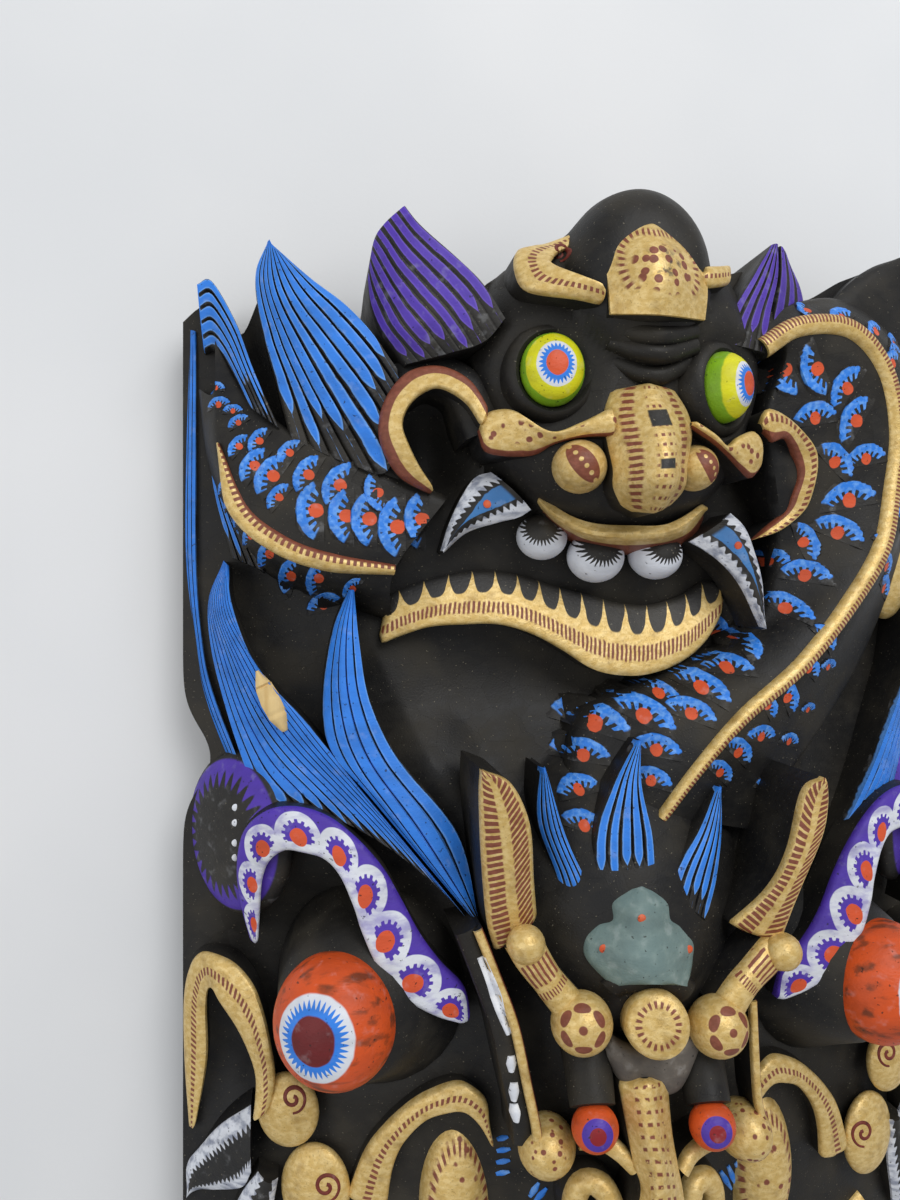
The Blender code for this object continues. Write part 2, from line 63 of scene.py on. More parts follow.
# Height of the black ground along the middle line, from crown to chin (y, z)
GROUND_SPINE = [(290, 60), (240, 68), (195, 66), (150, 58), (110, 52), (70, 54), (25, 70),
                (-20, 74), (-80, 74), (-140, 70), (-200, 60), (-240, 50), (-290, 34)]
# Top outline of the block from left to right (x, y)
CROWN_LINE = [(-178, 232), (-164, 240), (-150, 226), (-137, 246), (-112, 226), (-87, 204),
              (-64, 222), (-51, 243), (-33, 250), (-23, 257), (-14, 266), (-2, 270.5), (8, 270),
              (18, 264), (27, 254), (34, 247), (46, 250), (66, 256), (90, 246), (118, 260),
              (145, 269), (163, 256), (178, 236)]
CHIN_CORNER = -150.0
# Edges sharper than this, in degrees, stay crisp as cut by the knife
SHARP_ANGLE = 48

Point = Sequence[float]
Points = Sequence[Point]
Rails = Sequence[Points]
Field = float | np.ndarray
Grid = tuple[np.ndarray, np.ndarray]


class Slot(Enum):
    """The material slots of the record."""

    BLACK = "black_painted_wood"
    BARE = "bare_wood"
    BLUE = "blue_paint"
    PURPLE = "purple_paint"
    GOLD = "gold_paint"
    WHITE = "white_paint"
    ORANGE = "orange_paint"
    YELLOW = "yellow_paint"
    GREY = "teal_grey_paint"


def linear(code: str) -> tuple[float, float, float, float]:
    """Turn an sRGB colour code into linear light.

    Args:
        code: six hex digits.

    Returns:
        Red, green, blue and an alpha of 1.
    """
    shares = [int(code[i:i + 2], 16) / 255 for i in (0, 2, 4)]
    light = [s / 12.92 if s <= 0.04045 else ((s + 0.055) / 1.055) ** 2.4 for s in shares]
    return (*light, 1.0)


def smooth_path(points: Points, count: int) -> np.ndarray:
    """Run a smooth curve through points.

    Args:
        points: two or more points of equal size.
        count: how many evenly spaced points to return.

    Returns:
        An array of count rows.
    """
    return matched_paths([points], count)[0]


def matched_paths(rails: Rails, count: int) -> list[np.ndarray]:
    """Run a smooth curve through each of some rails, keeping their stations side by side.

    Args:
        rails: lists of as many points each.
        count: how many points to return along each, evenly spaced on their mean.

    Returns:
        An array of count rows for each rail.
    """
    share = np.linspace(0, 1, 10, endpoint=False)[:, None]
    curves = []
    for points in rails:
        knots = np.array(points, dtype=float)
        knots = np.vstack([2 * knots[0] - knots[1], knots, 2 * knots[-1] - knots[-2]])
        curve = [0.5 * (2 * b + (c - a) * share + (2 * a - 5 * b + 4 * c - d) * share ** 2
                        + (3 * b - a - 3 * c + d) * share ** 3)
                 for a, b, c, d in zip(knots, knots[1:], knots[2:], knots[3:])]
        curves.append(np.vstack(curve + [knots[-2:-1]]))
    steps = np.linalg.norm(np.diff(sum(curves) / len(curves), axis=0), axis=1)
    along = np.concatenate([[0], np.cumsum(steps)])
    wanted = np.linspace(0, along[-1], count)
    return [np.column_stack([np.interp(wanted, along, column) for column in curve.T])
            for curve in curves]


def path_length(points: Points) -> float:
    """Length of a broken line in the units of its points."""
    return float(np.linalg.norm(np.diff(np.array(points, dtype=float), axis=0), axis=1).sum())


def smooth_table(points: Points) -> Callable[[Field], Field]:
    """Return a smooth function of one value through (value, result) points."""
    path = smooth_path(points, 400)
    path = path[np.argsort(path[:, 0])]
    return lambda value: np.interp(value, path[:, 0], path[:, 1])


def mirrored(points: Points, about: float = 0.0) -> list:
    """The same points on the other side of a middle line."""
    return [(2 * about - point[0], *point[1:]) for point in points]


def mound(x: Field, y: Field, centre: Point, radii: Point, power: int = 1) -> Field:
    """A bump of height 1 over an ellipse, else 0."""
    reach = np.hypot((x - centre[0]) / radii[0], (y - centre[1]) / radii[1])
    return np.sqrt(np.clip(1 - reach ** (2 * power), 0, None))


def dish(x: Field, y: Field, centre: Point, radii: Point) -> Field:
    """A soft hollow of depth 1 that runs out at the edge of an ellipse."""
    reach = np.hypot((x - centre[0]) / radii[0], (y - centre[1]) / radii[1])
    return np.clip(1 - reach ** 2, 0, None) ** 2


def crease(x: Field, y: Field, start: Point, end: Point, reach: float) -> Field:
    """A sharp ridge of height 1 along the line from start to end, running out sideways."""
    start, end = np.array(start, dtype=float), np.array(end, dtype=float)
    line = end - start
    share = np.clip(((x - start[0]) * line[0] + (y - start[1]) * line[1]) / (line @ line), 0, 1)
    gap = np.hypot(x - start[0] - share * line[0], y - start[1] - share * line[1])
    return np.clip(1 - gap / reach, 0, None)


class Signal:
    """A value or colour in a node tree; arithmetic on it adds maths nodes."""

    def __init__(self, paint: "Paint", socket: bpy.types.NodeSocket | None) -> None:
        """Keep the tree's helper and the output socket."""
        self.paint = paint
        self.socket = socket

    def math(self, operation: str, *others: "Signal | float") -> "Signal":
        """Add one maths node that takes this signal first."""
        inputs = dict(enumerate((self, *others)))
        return self.paint.add("Math", inputs, operation=operation)

    def __add__(self, other: "Signal | float") -> "Signal":
        """Sum."""
        return self.math("ADD", other)

    def __sub__(self, other: "Signal | float") -> "Signal":
        """Difference."""
        return self.math("SUBTRACT", other)

    def __mul__(self, other: "Signal | float") -> "Signal":
        """Product."""
        return self.math("MULTIPLY", other)

    def __truediv__(self, other: "Signal | float") -> "Signal":
        """Quotient."""
        return self.math("DIVIDE", other)

    def step(self, start: float, end: float) -> "Signal":
        """Rise softly from 0 at start to 1 at end, or fall where end is below start."""
        low, high, a, b = (start, end, 0.0, 1.0) if start < end else (end, start, 1.0, 0.0)
        return self.paint.add("MapRange", {0: self, 1: low, 2: high, 3: a, 4: b},
                              interpolation_type="SMOOTHSTEP")


class Paint:
    """Builds one material's node tree."""

    def __init__(self, name: str) -> None:
        """Start an empty tree with the paint coordinates of the carved forms.

        Args:
            name: name of the material.
        """
        self.material = bpy.data.materials.new(name)
        self.material.use_nodes = True
        self.tree = self.material.node_tree
        self.tree.nodes.clear()
        self.place = self.add("TexCoord", output="Object")
        spot = self.add("UVMap", uv_map="paint")
        self.across = self.add("SeparateXYZ", {0: spot})
        self.along = Signal(self, self.across.socket.node.outputs[1])

    def add(self, kind: str, inputs: dict | None = None, output: int | str = 0,
            **settings: str) -> Signal:
        """Add a node.

        Args:
            kind: node type without its ShaderNode prefix.
            inputs: values or signals by socket name or number.
            output: the output socket to return.
            settings: properties of the node.

        Returns:
            The chosen output, empty for a node that has none.
        """
        node = self.tree.nodes.new("ShaderNode" + kind)
        for key, value in settings.items():
            setattr(node, key, value)
        for key, value in (inputs or {}).items():
            if isinstance(value, Signal):
                self.tree.links.new(value.socket, node.inputs[key])
            else:
                node.inputs[key].default_value = value
        return Signal(self, node.outputs[output] if node.outputs else None)

    def mix(self, share: Signal | float, first: Signal | str, second: Signal | str) -> Signal:
        """Blend two colours, each a hex code or a signal."""
        colours = {key: linear(item) if isinstance(item, str) else item
                   for key, item in ((6, first), (7, second))}
        return self.add("Mix", {0: share, **colours}, output=2, data_type="RGBA")

    def noise(self, size_mm: float, detail: float = 2.0, stretch: Point = (1, 1, 1)) -> Signal:
        """Soft noise whose features are about size_mm wide, from 0 to 1."""
        place = self.add("Mapping", {0: self.place, 3: tuple(
            side / (size_mm * MM) for side in stretch)})
        return self.add("TexNoise", {"Vector": place, "Scale": 1.0, "Detail": detail})

    def cells(self, size_mm: float, output: str = "Distance", where: Signal | None = None,
              randomness: float = 1.0) -> Signal:
        """Voronoi cells about size_mm wide."""
        return self.add("TexVoronoi", {"Vector": where or self.place, "Scale": 1 / (
            size_mm * MM), "Randomness": randomness}, output=output)

    def wobble(self, signal: Signal, size_mm: float, amount: float) -> Signal:
        """Shift a signal a little by noise, as a hand-held brush does."""
        return signal + (self.noise(size_mm, 1.0) - 0.5) * amount

    def polar(self) -> tuple[Signal, Signal]:
        """Radius, and angle from 0 to 1, of the paint coordinates about their middle."""
        radius = (self.across * self.across + self.along * self.along).math("SQRT")
        angle = self.along.math("ARCTAN2", self.across) / (2 * math.pi) + 0.5
        return radius, angle

    def finish(self, colour: Signal, roughness: Signal | float, height: Signal,
               relief_mm: float, metallic: Signal | float = 0.0,
               shine: float = 0.5) -> bpy.types.Material:
        """Close the tree.

        Args:
            colour: the base colour.
            roughness: a value or signal.
            height: bump height from 0 to 1.
            relief_mm: depth that a height of 1 stands for.
            metallic: a value or signal.
            shine: strength of the clear reflection, 0.5 for plain lacquer.

        Returns:
            The finished material.
        """
        bump = self.add("Bump", {"Strength": 1.0, "Distance": relief_mm * MM,
                                 "Height": height})
        shader = self.add("BsdfPrincipled", {"Base Color": colour, "Roughness": roughness,
                                             "Metallic": metallic, "Normal": bump,
                                             "Specular IOR Level": shine})
        self.add("OutputMaterial", {0: shader})
        return self.material

    def painted(self, layer: Signal, gloss: float = 0.0) -> bpy.types.Material:
        """Age a coat of brush paint: streaks, rubbed flecks and dust, and a fine brushed bump."""
        streaks = self.noise(7, 3.0, (0.35, 1, 1))
        layer = self.mix(streaks.step(0.35, 0.75) * 0.22, layer, "1b1a1c")
        pale = self.mix(0.45, layer, "e9ecf2")
        layer = self.mix(self.noise(5, 4.0).step(0.56, 0.74) * 0.2, layer, pale)
        flecks = self.noise(1.6, 3.0).step(0.67, 0.72)
        layer = self.mix(flecks * 0.75, layer, "25231f")
        roughness = streaks * 0.2 + (0.46 - gloss)
        height = self.noise(0.9, 2.0, (0.5, 1, 1)) * 0.5 + self.noise(3, 2.0) * 0.5 - flecks * 0.5
        return self.finish(layer, roughness, height, 0.28, shine=0.35)

    def black(self) -> tuple[Signal, Signal, Signal]:
        """Layers of the black ground.

        Returns:
            Colour, roughness and bump height.
        """
        tone = self.noise(60, 3.0)
        layer = self.mix(tone.step(0.38, 0.62), "1c1c1d", "252320")
        dust = self.noise(26, 6.0).step(0.46, 0.7)
        layer = self.mix(dust * 0.45, layer, "454036")
        brushed = self.noise(3.2, 5.0, (0.5, 1, 1)).step(0.35, 0.8)
        layer = self.mix(brushed * 0.35, layer, "33312c")
        specks = self.noise(0.9, 1.0).step(0.72, 0.76)
        layer = self.mix(specks * 0.55, layer, "8d8674")
        roughness = dust * 0.16 + brushed * 0.08 + 0.45
        middle = self.cells(11, "Position")
        tilt = self.add("VectorMath", {0: self.cells(11, "Color"), 1: (0.5, 0.5, 0.5)},
                        operation="SUBTRACT")
        reach = self.add("VectorMath", {0: self.place, 1: middle}, operation="SUBTRACT")
        facets = self.add("VectorMath", {0: tilt, 1: reach}, output="Value",
                          operation="DOT_PRODUCT")
        height = facets * 150 + self.noise(0.8, 3.0) * 0.2 + specks * 0.2
        return layer, roughness, height


@dataclass(frozen=True)
class Colours:
    """Paint colours, as sRGB codes."""

    blue: str = "2f80e4"
    blue_light: str = "6aa6f2"
    purple: str = "5035a8"
    gold: str = "cfae66"
    gold_light: str = "e3c787"
    gold_dark: str = "8d6d36"
    red_brown: str = "6e2b20"
    orange: str = "d5552c"
    eye_orange: str = "d4531f"
    white: str = "dde1e9"
    lavender: str = "a9a6cf"
    yellow: str = "dcd91c"
    green: str = "7fae1e"
    crest: str = "6f8482"
    lip: str = "5c5650"
    wood: str = "e0c48a"


HUE = Colours()


class BlackWood:
    """Black painted wood: flat knife facets under dusty black paint with pale specks."""

    def make(self) -> bpy.types.Material:
        """Return the material."""
        paint = Paint("black_painted_wood")
        layer, roughness, height = paint.black()
        return paint.finish(layer, roughness, height, 0.55, shine=0.22)


class BareWood:
    """Pale poplar, cut and left bare: soft grain, with the marks of a gouge across it."""

    def make(self) -> bpy.types.Material:
        """Return the material."""
        paint = Paint("bare_carved_poplar")
        grain = paint.noise(3, 4.0, (1, 0.09, 1))
        layer = paint.mix(grain.step(0.3, 0.75), HUE.wood, "cbab70")
        stain = paint.noise(38, 4.0).step(0.45, 0.75)
        layer = paint.mix(stain * 0.25, layer, "a07e4c")
        cuts = paint.cells(13, where=paint.add("Mapping", {0: paint.place, 3: (1, 0.45, 1)}))
        return paint.finish(layer, grain * 0.2 + 0.6, cuts * cuts + grain * 0.25, 0.5)


@dataclass(frozen=True)
class Striped:
    """Ribs of brush paint with black cut grooves between them.

    The paint coordinates count the stripes across and run from 0 at the tip to 1 at the root.

    Args:
        name: name of the material.
        colour: of the paint at a rib's edges.
        light: of the paint on its back.
        width: half a painted rib's width, as a share of a stripe.
        ends: how raggedly the ribs end at the root, as a share of their length.
        joined: share of the length, from the tip, over which the ribs run together.
    """

    name: str
    colour: str = HUE.blue
    light: str = HUE.blue_light
    width: float = 0.34
    ends: float = 0.22
    joined: float = 0.1

    def make(self) -> bpy.types.Material:
        """Return the material."""
        paint = Paint(self.name)
        phase = paint.wobble(paint.across, 14, 0.16)
        stripe = phase.math("FLOOR")
        gap = (phase - stripe - 0.5).math("ABSOLUTE")
        chance = paint.add("TexWhiteNoise", {"W": stripe}, noise_dimensions="1D")
        left = (chance * -self.ends + 1.0) - paint.along
        tip = left.step(0.0, 0.1).math("SQRT")
        half = (chance * 0.07 + self.width) * tip
        half = half.math("MAXIMUM", paint.along.step(self.joined, 0.0) * 0.6)
        edge = half - paint.wobble(gap, 2.5, 0.07)
        blue = paint.mix(edge.step(0.0, 0.16), self.light, self.colour)
        cover = edge.step(-0.02, 0.025)
        layer = paint.mix(cover, paint.black()[0], blue)
        return paint.painted(layer, 0.03)


class Scaled:
    """A scale drawn in paint: a blue arc with comb strokes inside it and an orange dot.

    The paint coordinates run from -1 to 1, the arc's outer side up.
    """

    def make(self) -> bpy.types.Material:
        """Return the material."""
        paint = Paint("blue_scale_paint")
        low = paint.along + 0.62
        radius = paint.wobble((paint.across * paint.across + low * low).math("SQRT"), 3, 0.09)
        angle = paint.wobble(low.math("ARCTAN2", paint.across) - math.pi / 2, 3, 0.1)
        spread = angle.math("ABSOLUTE")
        combs = (angle * 19).math("SINE").step(-0.35, 0.35)
        inner = combs * -0.24 + 0.8 + (spread / 1.15).math("POWER", 3.0) * 0.16
        band = (radius - inner).step(-0.02, 0.02) * radius.step(1.14, 1.1)
        band = band * spread.step(1.1, 1.02)
        dot_up = (paint.along + 0.17) * 0.9
        dot = (paint.across * paint.across + dot_up * dot_up).math("SQRT")
        dot = paint.wobble(dot, 3, 0.08).step(0.25, 0.22)
        ground, _, _ = paint.black()
        blue = paint.mix(paint.noise(2, 3.0).step(0.4, 0.7), HUE.blue, HUE.blue_light)
        layer = paint.mix(band, ground, blue)
        layer = paint.mix(dot, layer, HUE.orange)
        return paint.painted(layer)


@dataclass(frozen=True)
class Gold:
    """Bronze-powder gold paint, satin and brushed, with red-brown marks drawn on it.

    The paint coordinates run from -1 to 1 across a form and in millimetres along it, or from
    -1 to 1 both ways over a round one.  marks and inks name what is drawn in red-brown and in
    black; under gives the shares across between which the side turns red-brown.
    """

    name: str
    marks: tuple = ()
    inks: tuple = ()
    under: tuple = (2.0, 3.0)

    def window(self, signal: Signal, low: float, high: float, soft: float = 0.04) -> Signal:
        """1 between two limits, else 0."""
        return signal.step(low - soft, low + soft) * signal.step(high + soft, high - soft)

    def hatches(self, paint: Paint, low: float, high: float, pitch: float,
                mirror: bool = False) -> Signal:
        """Short strokes between two shares of the width, on both sides if mirrored."""
        beat = paint.wobble(paint.along, 4, 0.8) / pitch
        line = (beat.math("FRACT") - 0.5).math("ABSOLUTE").step(0.31, 0.22)
        side = paint.across.math("ABSOLUTE") if mirror else paint.across
        return line * self.window(paint.wobble(side, 2.5, 0.16), low, high)

    def herringbone(self, paint: Paint, pitch: float) -> Signal:
        """Slanting strokes on both sides of a middle vein."""
        side = paint.across.math("ABSOLUTE")
        beat = (paint.wobble(paint.along, 4, 0.6) + side * 5) / pitch
        line = (beat.math("FRACT") - 0.5).math("ABSOLUTE").step(0.36, 0.28)
        return line * self.window(paint.wobble(side, 3, 0.16), 0.2, 0.82)

    def spots(self, paint: Paint, size: float, fill: float, reach: float = 9.0) -> Signal:
        """Loose spots within a share of the width."""
        spot = paint.wobble(paint.cells(size), 2, 0.16).step(fill + 0.05, fill - 0.05)
        return spot * paint.across.math("ABSOLUTE").step(reach + 0.1, reach - 0.1)

    def rays(self, paint: Paint, inner: float, outer: float, count: int) -> Signal:
        """A ring of short strokes about the middle."""
        radius, angle = paint.polar()
        line = (angle * (2 * math.pi * count)).math("SINE").step(-0.1, 0.25)
        return line * self.window(paint.wobble(radius, 2, 0.12), inner, outer)

    def lenses(self, paint: Paint, middle: float, size: float, count: int) -> Signal:
        """A ring of lens-shaped spots round a small one."""
        radius, angle = paint.polar()
        turn = (angle * count).math("FRACT") - 0.5
        gap = (radius - middle) / size
        side = turn * (2 * math.pi * middle / count / size / 1.7)
        spot = (gap * gap * 1.6 + side * side).math("SQRT").step(1.05, 0.9)
        return spot.math("MAXIMUM", radius.step(0.16, 0.12))

    def drop(self, paint: Paint) -> Signal:
        """A leaning drop with a row of gold dots left free in it."""
        side = paint.across * 0.8 + paint.along * 0.62
        run = paint.along * 0.8 - paint.across * 0.62
        shape = (side * side * 5 + run * run * 1.5).math("SQRT").step(1.03, 0.97)
        beat = (run * 3.2).math("FRACT") - 0.5
        dots = (beat * beat * 0.12 + side * side).math("SQRT").step(0.07, 0.11)
        return shape * dots

    def tiles(self, paint: Paint, columns: float, pitch: float, reach: float) -> Signal:
        """Rows and columns of small dashes."""
        run = (paint.wobble(paint.along, 4, 0.4) / pitch).math("FRACT")
        side = (paint.across * columns).math("FRACT")
        dash = self.window(run, 0.3, 0.62, 0.06) * self.window(side, 0.25, 0.75, 0.08)
        broken = paint.noise(3, 2.0).step(0.36, 0.44)
        return dash * broken * paint.across.math("ABSOLUTE").step(reach + 0.05, reach - 0.05)

    def squares(self, paint: Paint, *squares: Point) -> Signal:
        """Squares on the middle line, each by half its width, its place and half its height."""
        total = None
        for half, place, tall in squares:
            side = paint.across.math("ABSOLUTE").step(half + 0.02, half - 0.02)
            one = side * self.window(paint.along, place - tall, place + tall, 0.3)
            total = one if total is None else total.math("MAXIMUM", one)
        return total

    def flutes(self, paint: Paint, columns: float, start: float, end: float) -> Signal:
        """Strokes that run along a form between two places on it."""
        side = (paint.wobble(paint.across, 4, 0.1) * columns).math("FRACT") - 0.5
        line = side.math("ABSOLUTE").step(0.26, 0.2)
        return line * self.window(paint.wobble(paint.along, 3, 1.5), start, end, 0.3)

    def scallops(self, paint: Paint, pitch: float, low: float, depth: float) -> Signal:
        """The ground above a comb of spikes along a band's upper side."""
        beat = (paint.wobble(paint.along, 9, 1.6) / pitch).math("FRACT") - 0.5
        arc = (beat * beat * 4).math("POWER", 1.6)
        return (paint.across - (arc * depth + low)).step(-0.03, 0.03)

    def border(self, paint: Paint, inner: float, outer: float, count: int) -> Signal:
        """Strokes round the edge of a squarish plate."""
        x, y = (value.math("ABSOLUTE").math("POWER", 3.0)
                for value in (paint.across, paint.along))
        reach = (x + y).math("POWER", 1 / 3)
        angle = paint.polar()[1]
        line = (angle * (2 * math.pi * count)).math("SINE").step(-0.1, 0.3)
        return line * self.window(paint.wobble(reach, 3, 0.1), inner, outer) * (
            paint.along.step(0.6, 0.55))

    def patch(self, paint: Paint, size: float, reach: float) -> Signal:
        """Crowded spots in the middle."""
        spot = paint.wobble(paint.cells(size, randomness=0.6), 2, 0.1).step(0.46, 0.4)
        low = paint.along - 0.1
        radius = (paint.across * paint.across + low * low).math("SQRT")
        return spot * radius.step(reach + 0.04, reach - 0.04)

    def worn(self, paint: Paint, reach: float) -> Signal:
        """A rubbed stain in the middle."""
        stain = paint.noise(4, 4.0).step(0.5, 0.58)
        return stain * paint.polar()[0].step(reach + 0.15, reach - 0.1) * 0.75

    def drawn(self, paint: Paint, marks: tuple) -> Signal | None:
        """Every mark of a list together."""
        total = None
        for kind, *values in marks:
            mark = getattr(self, kind)(paint, *values)
            total = mark if total is None else total.math("MAXIMUM", mark)
        return total

    def make(self) -> bpy.types.Material:
        """Return the material."""
        paint = Paint(self.name)
        brush = paint.noise(1.8, 5.0, (0.6, 1, 1))
        layer = paint.mix(brush.step(0.35, 0.68), HUE.gold, HUE.gold_light)
        rubbed = paint.noise(8, 6.0).step(0.52, 0.74)
        layer = paint.mix(rubbed * 0.5, layer, HUE.gold_dark)
        grain = paint.noise(0.7, 2.0).step(0.58, 0.74)
        layer = paint.mix(grain * 0.38, layer, "6b5126")
        side = paint.wobble(paint.across, 5, 0.1).step(*self.under)
        drawn = self.drawn(paint, self.marks)
        drawn = side if drawn is None else drawn.math("MAXIMUM", side)
        red = paint.mix(brush.step(0.4, 0.7), HUE.red_brown, "80372a")
        layer = paint.mix(drawn * 0.94, layer, red)
        ink = self.drawn(paint, self.inks)
        if ink:
            ground, _, _ = paint.black()
            layer = paint.mix(ink, layer, ground)
            drawn = drawn.math("MAXIMUM", ink)
        metal = (drawn * -0.3) + 0.3
        height = brush * 0.6 + paint.noise(0.7, 2.0) * 0.4
        return paint.finish(layer, grain * 0.12 + drawn * 0.1 + 0.42, height, 0.3, metal)


@dataclass(frozen=True)
class RingedEye:
    """An eye painted in rings, with pointed strokes between the white and the next colour.

    The paint coordinates run from -1 to 1 over the eye, flat.

    Args:
        name: name of the material.
        rings: radius and colour of each ring, from the outside in.
        strokes: how many pointed strokes.
        stroke_at: radius of the ring whose edge they make.
        streaks: strength of the brown streaks outside the rings.
    """

    name: str
    rings: tuple
    strokes: int = 0
    stroke_at: float = 0.5
    streaks: float = 0.3

    def make(self) -> bpy.types.Material:
        """Return the material."""
        paint = Paint(self.name)
        radius, angle = paint.polar()
        radius = paint.wobble(radius, 6, 0.05)
        layer = paint.mix(0.0, self.rings[0][1], self.rings[0][1])
        for outer, colour in self.rings[1:]:
            limit = radius
            if self.strokes and abs(outer - self.stroke_at) < 1e-6:
                teeth = (angle * (2 * math.pi * self.strokes)).math("SINE") * 0.055
                limit = radius + teeth
            layer = paint.mix(limit.step(outer + 0.015, outer - 0.015), layer, colour)
        streak = paint.noise(5, 4.0, (0.25, 1, 1)).step(0.5, 0.68)
        outside = radius.step(self.rings[1][0] - 0.02, self.rings[1][0] + 0.05)
        layer = paint.mix(streak * outside * self.streaks, layer, "4a2f1c")
        return paint.painted(layer, 0.08)


class BrowPaint:
    """White scallops with inward teeth on purple, each round an orange dot.

    The paint coordinates run from -1 at the inner edge to 1 and count the scallops along.
    """

    def make(self) -> bpy.types.Material:
        """Return the material."""
        paint = Paint("purple_brow_paint")
        up = (paint.wobble(paint.across, 5, 0.06) + 0.3) / 1.12
        beat = paint.wobble(paint.along, 8, 0.06)
        side = (beat - beat.math("FLOOR") - 0.5) / 0.52
        radius = (up * up + side * side).math("SQRT")
        angle = up.math("ARCTAN2", side)
        teeth = (angle * 15).math("SINE").step(-0.4, 0.4) * 0.13
        ring = (radius + teeth).step(0.7, 0.74) * radius.step(1.04, 1.0) * up.step(-0.35, -0.25)
        edge = paint.wobble(paint.across, 4, 0.1).step(-0.5, -0.56)
        dot = ((up * up) * 1.1 + side * side).math("SQRT")
        dot = paint.wobble(dot, 3, 0.05).step(0.4, 0.37)
        white = paint.mix(paint.noise(4, 5.0, (0.4, 1, 1)).step(0.42, 0.7), HUE.white,
                          HUE.lavender)
        layer = paint.mix(ring.math("MAXIMUM", edge), HUE.purple, white)
        layer = paint.mix(dot, layer, HUE.orange)
        return paint.painted(layer)


class ToothPaint:
    """A white scallop of brush paint, combed into the black above it.

    The paint coordinates run from -1 to 1, the tooth's edge down.
    """

    def make(self) -> bpy.types.Material:
        """Return the material."""
        paint = Paint("white_tooth_paint")
        up = paint.along - 0.62
        radius = (paint.across * paint.across * 0.7 + up * up).math("SQRT")
        angle = up.math("ARCTAN2", paint.across)
        combs = (paint.wobble(angle, 2, 0.06) * 30).math("SINE") * 0.16
        cover = (radius + combs * 0.8).step(0.62, 0.68)
        ground, _, _ = paint.black()
        layer = paint.mix(cover, ground, HUE.white)
        return paint.painted(layer)


@dataclass(frozen=True)
class TuskPaint:
    """White hatched edges round a black leaf, with a blue heart in it.

    The paint coordinates run from -1 to 1 across and from 0 at the tip to 1.

    Args:
        name: name of the material.
        heart: whether it has the blue heart.
        hatch: how many hatches from end to end.
    """

    name: str = "white_tusk_paint"
    heart: bool = True
    hatch: float = 26.0

    def make(self) -> bpy.types.Material:
        """Return the material."""
        paint = Paint(self.name)
        gap = paint.wobble(paint.across, 3, 0.1).math("ABSOLUTE")
        combs = ((paint.along + gap * 0.08) * (self.hatch * math.pi)).math("SINE")
        inner = combs * 0.1 + 0.52
        limit = inner.math("MULTIPLY", paint.along.step(0.0, 0.3))
        cover = (gap - limit).step(-0.03, 0.03)
        ground, _, _ = paint.black()
        shade = paint.mix(paint.noise(3, 4.0, (0.4, 1, 1)).step(0.4, 0.7), HUE.white, "8f95a6")
        layer = paint.mix(cover, ground, shade)
        if self.heart:
            heart = gap - paint.along.step(0.25, 0.8) * 0.34
            heart = heart.step(0.02, -0.02) * paint.along.step(0.96, 0.92)
            layer = paint.mix(heart, layer, "3f78b4")
        return paint.painted(layer)


class DiscPaint:
    """A purple rim combed by black strokes, round a black middle.

    The paint coordinates run from -1 to 1 over the disc.
    """

    def make(self) -> bpy.types.Material:
        """Return the material."""
        paint = Paint("purple_disc_paint")
        radius, angle = paint.polar()
        combs = (angle * (2 * math.pi * 30)).math("SINE") * 0.09
        cover = (paint.wobble(radius, 4, 0.05) + combs).step(0.66, 0.72) * radius.step(0.93, 0.9)
        ground, _, _ = paint.black()
        return paint.painted(paint.mix(cover, ground, HUE.purple))


@dataclass(frozen=True)
class Plain:
    """One coat of brush paint.

    Args:
        name: name of the material.
        colour: of the coat.
        light: of its thin spots.
    """

    name: str
    colour: str
    light: str

    def make(self) -> bpy.types.Material:
        """Return the material."""
        paint = Paint(self.name)
        layer = paint.mix(paint.noise(5, 4.0).step(0.4, 0.7), self.colour, self.light)
        return paint.painted(layer)


class StudioFloor:
    """Matt pale card, faintly uneven."""

    def make(self) -> bpy.types.Material:
        """Return the material."""
        paint = Paint("pale_card_floor")
        tone = paint.noise(220, 3.0)
        layer = paint.mix(tone.step(0.3, 0.7), "dcdee0", "e4e5e6")
        return paint.finish(layer, tone * 0.1 + 0.8, paint.noise(2, 2.0), 0.05)


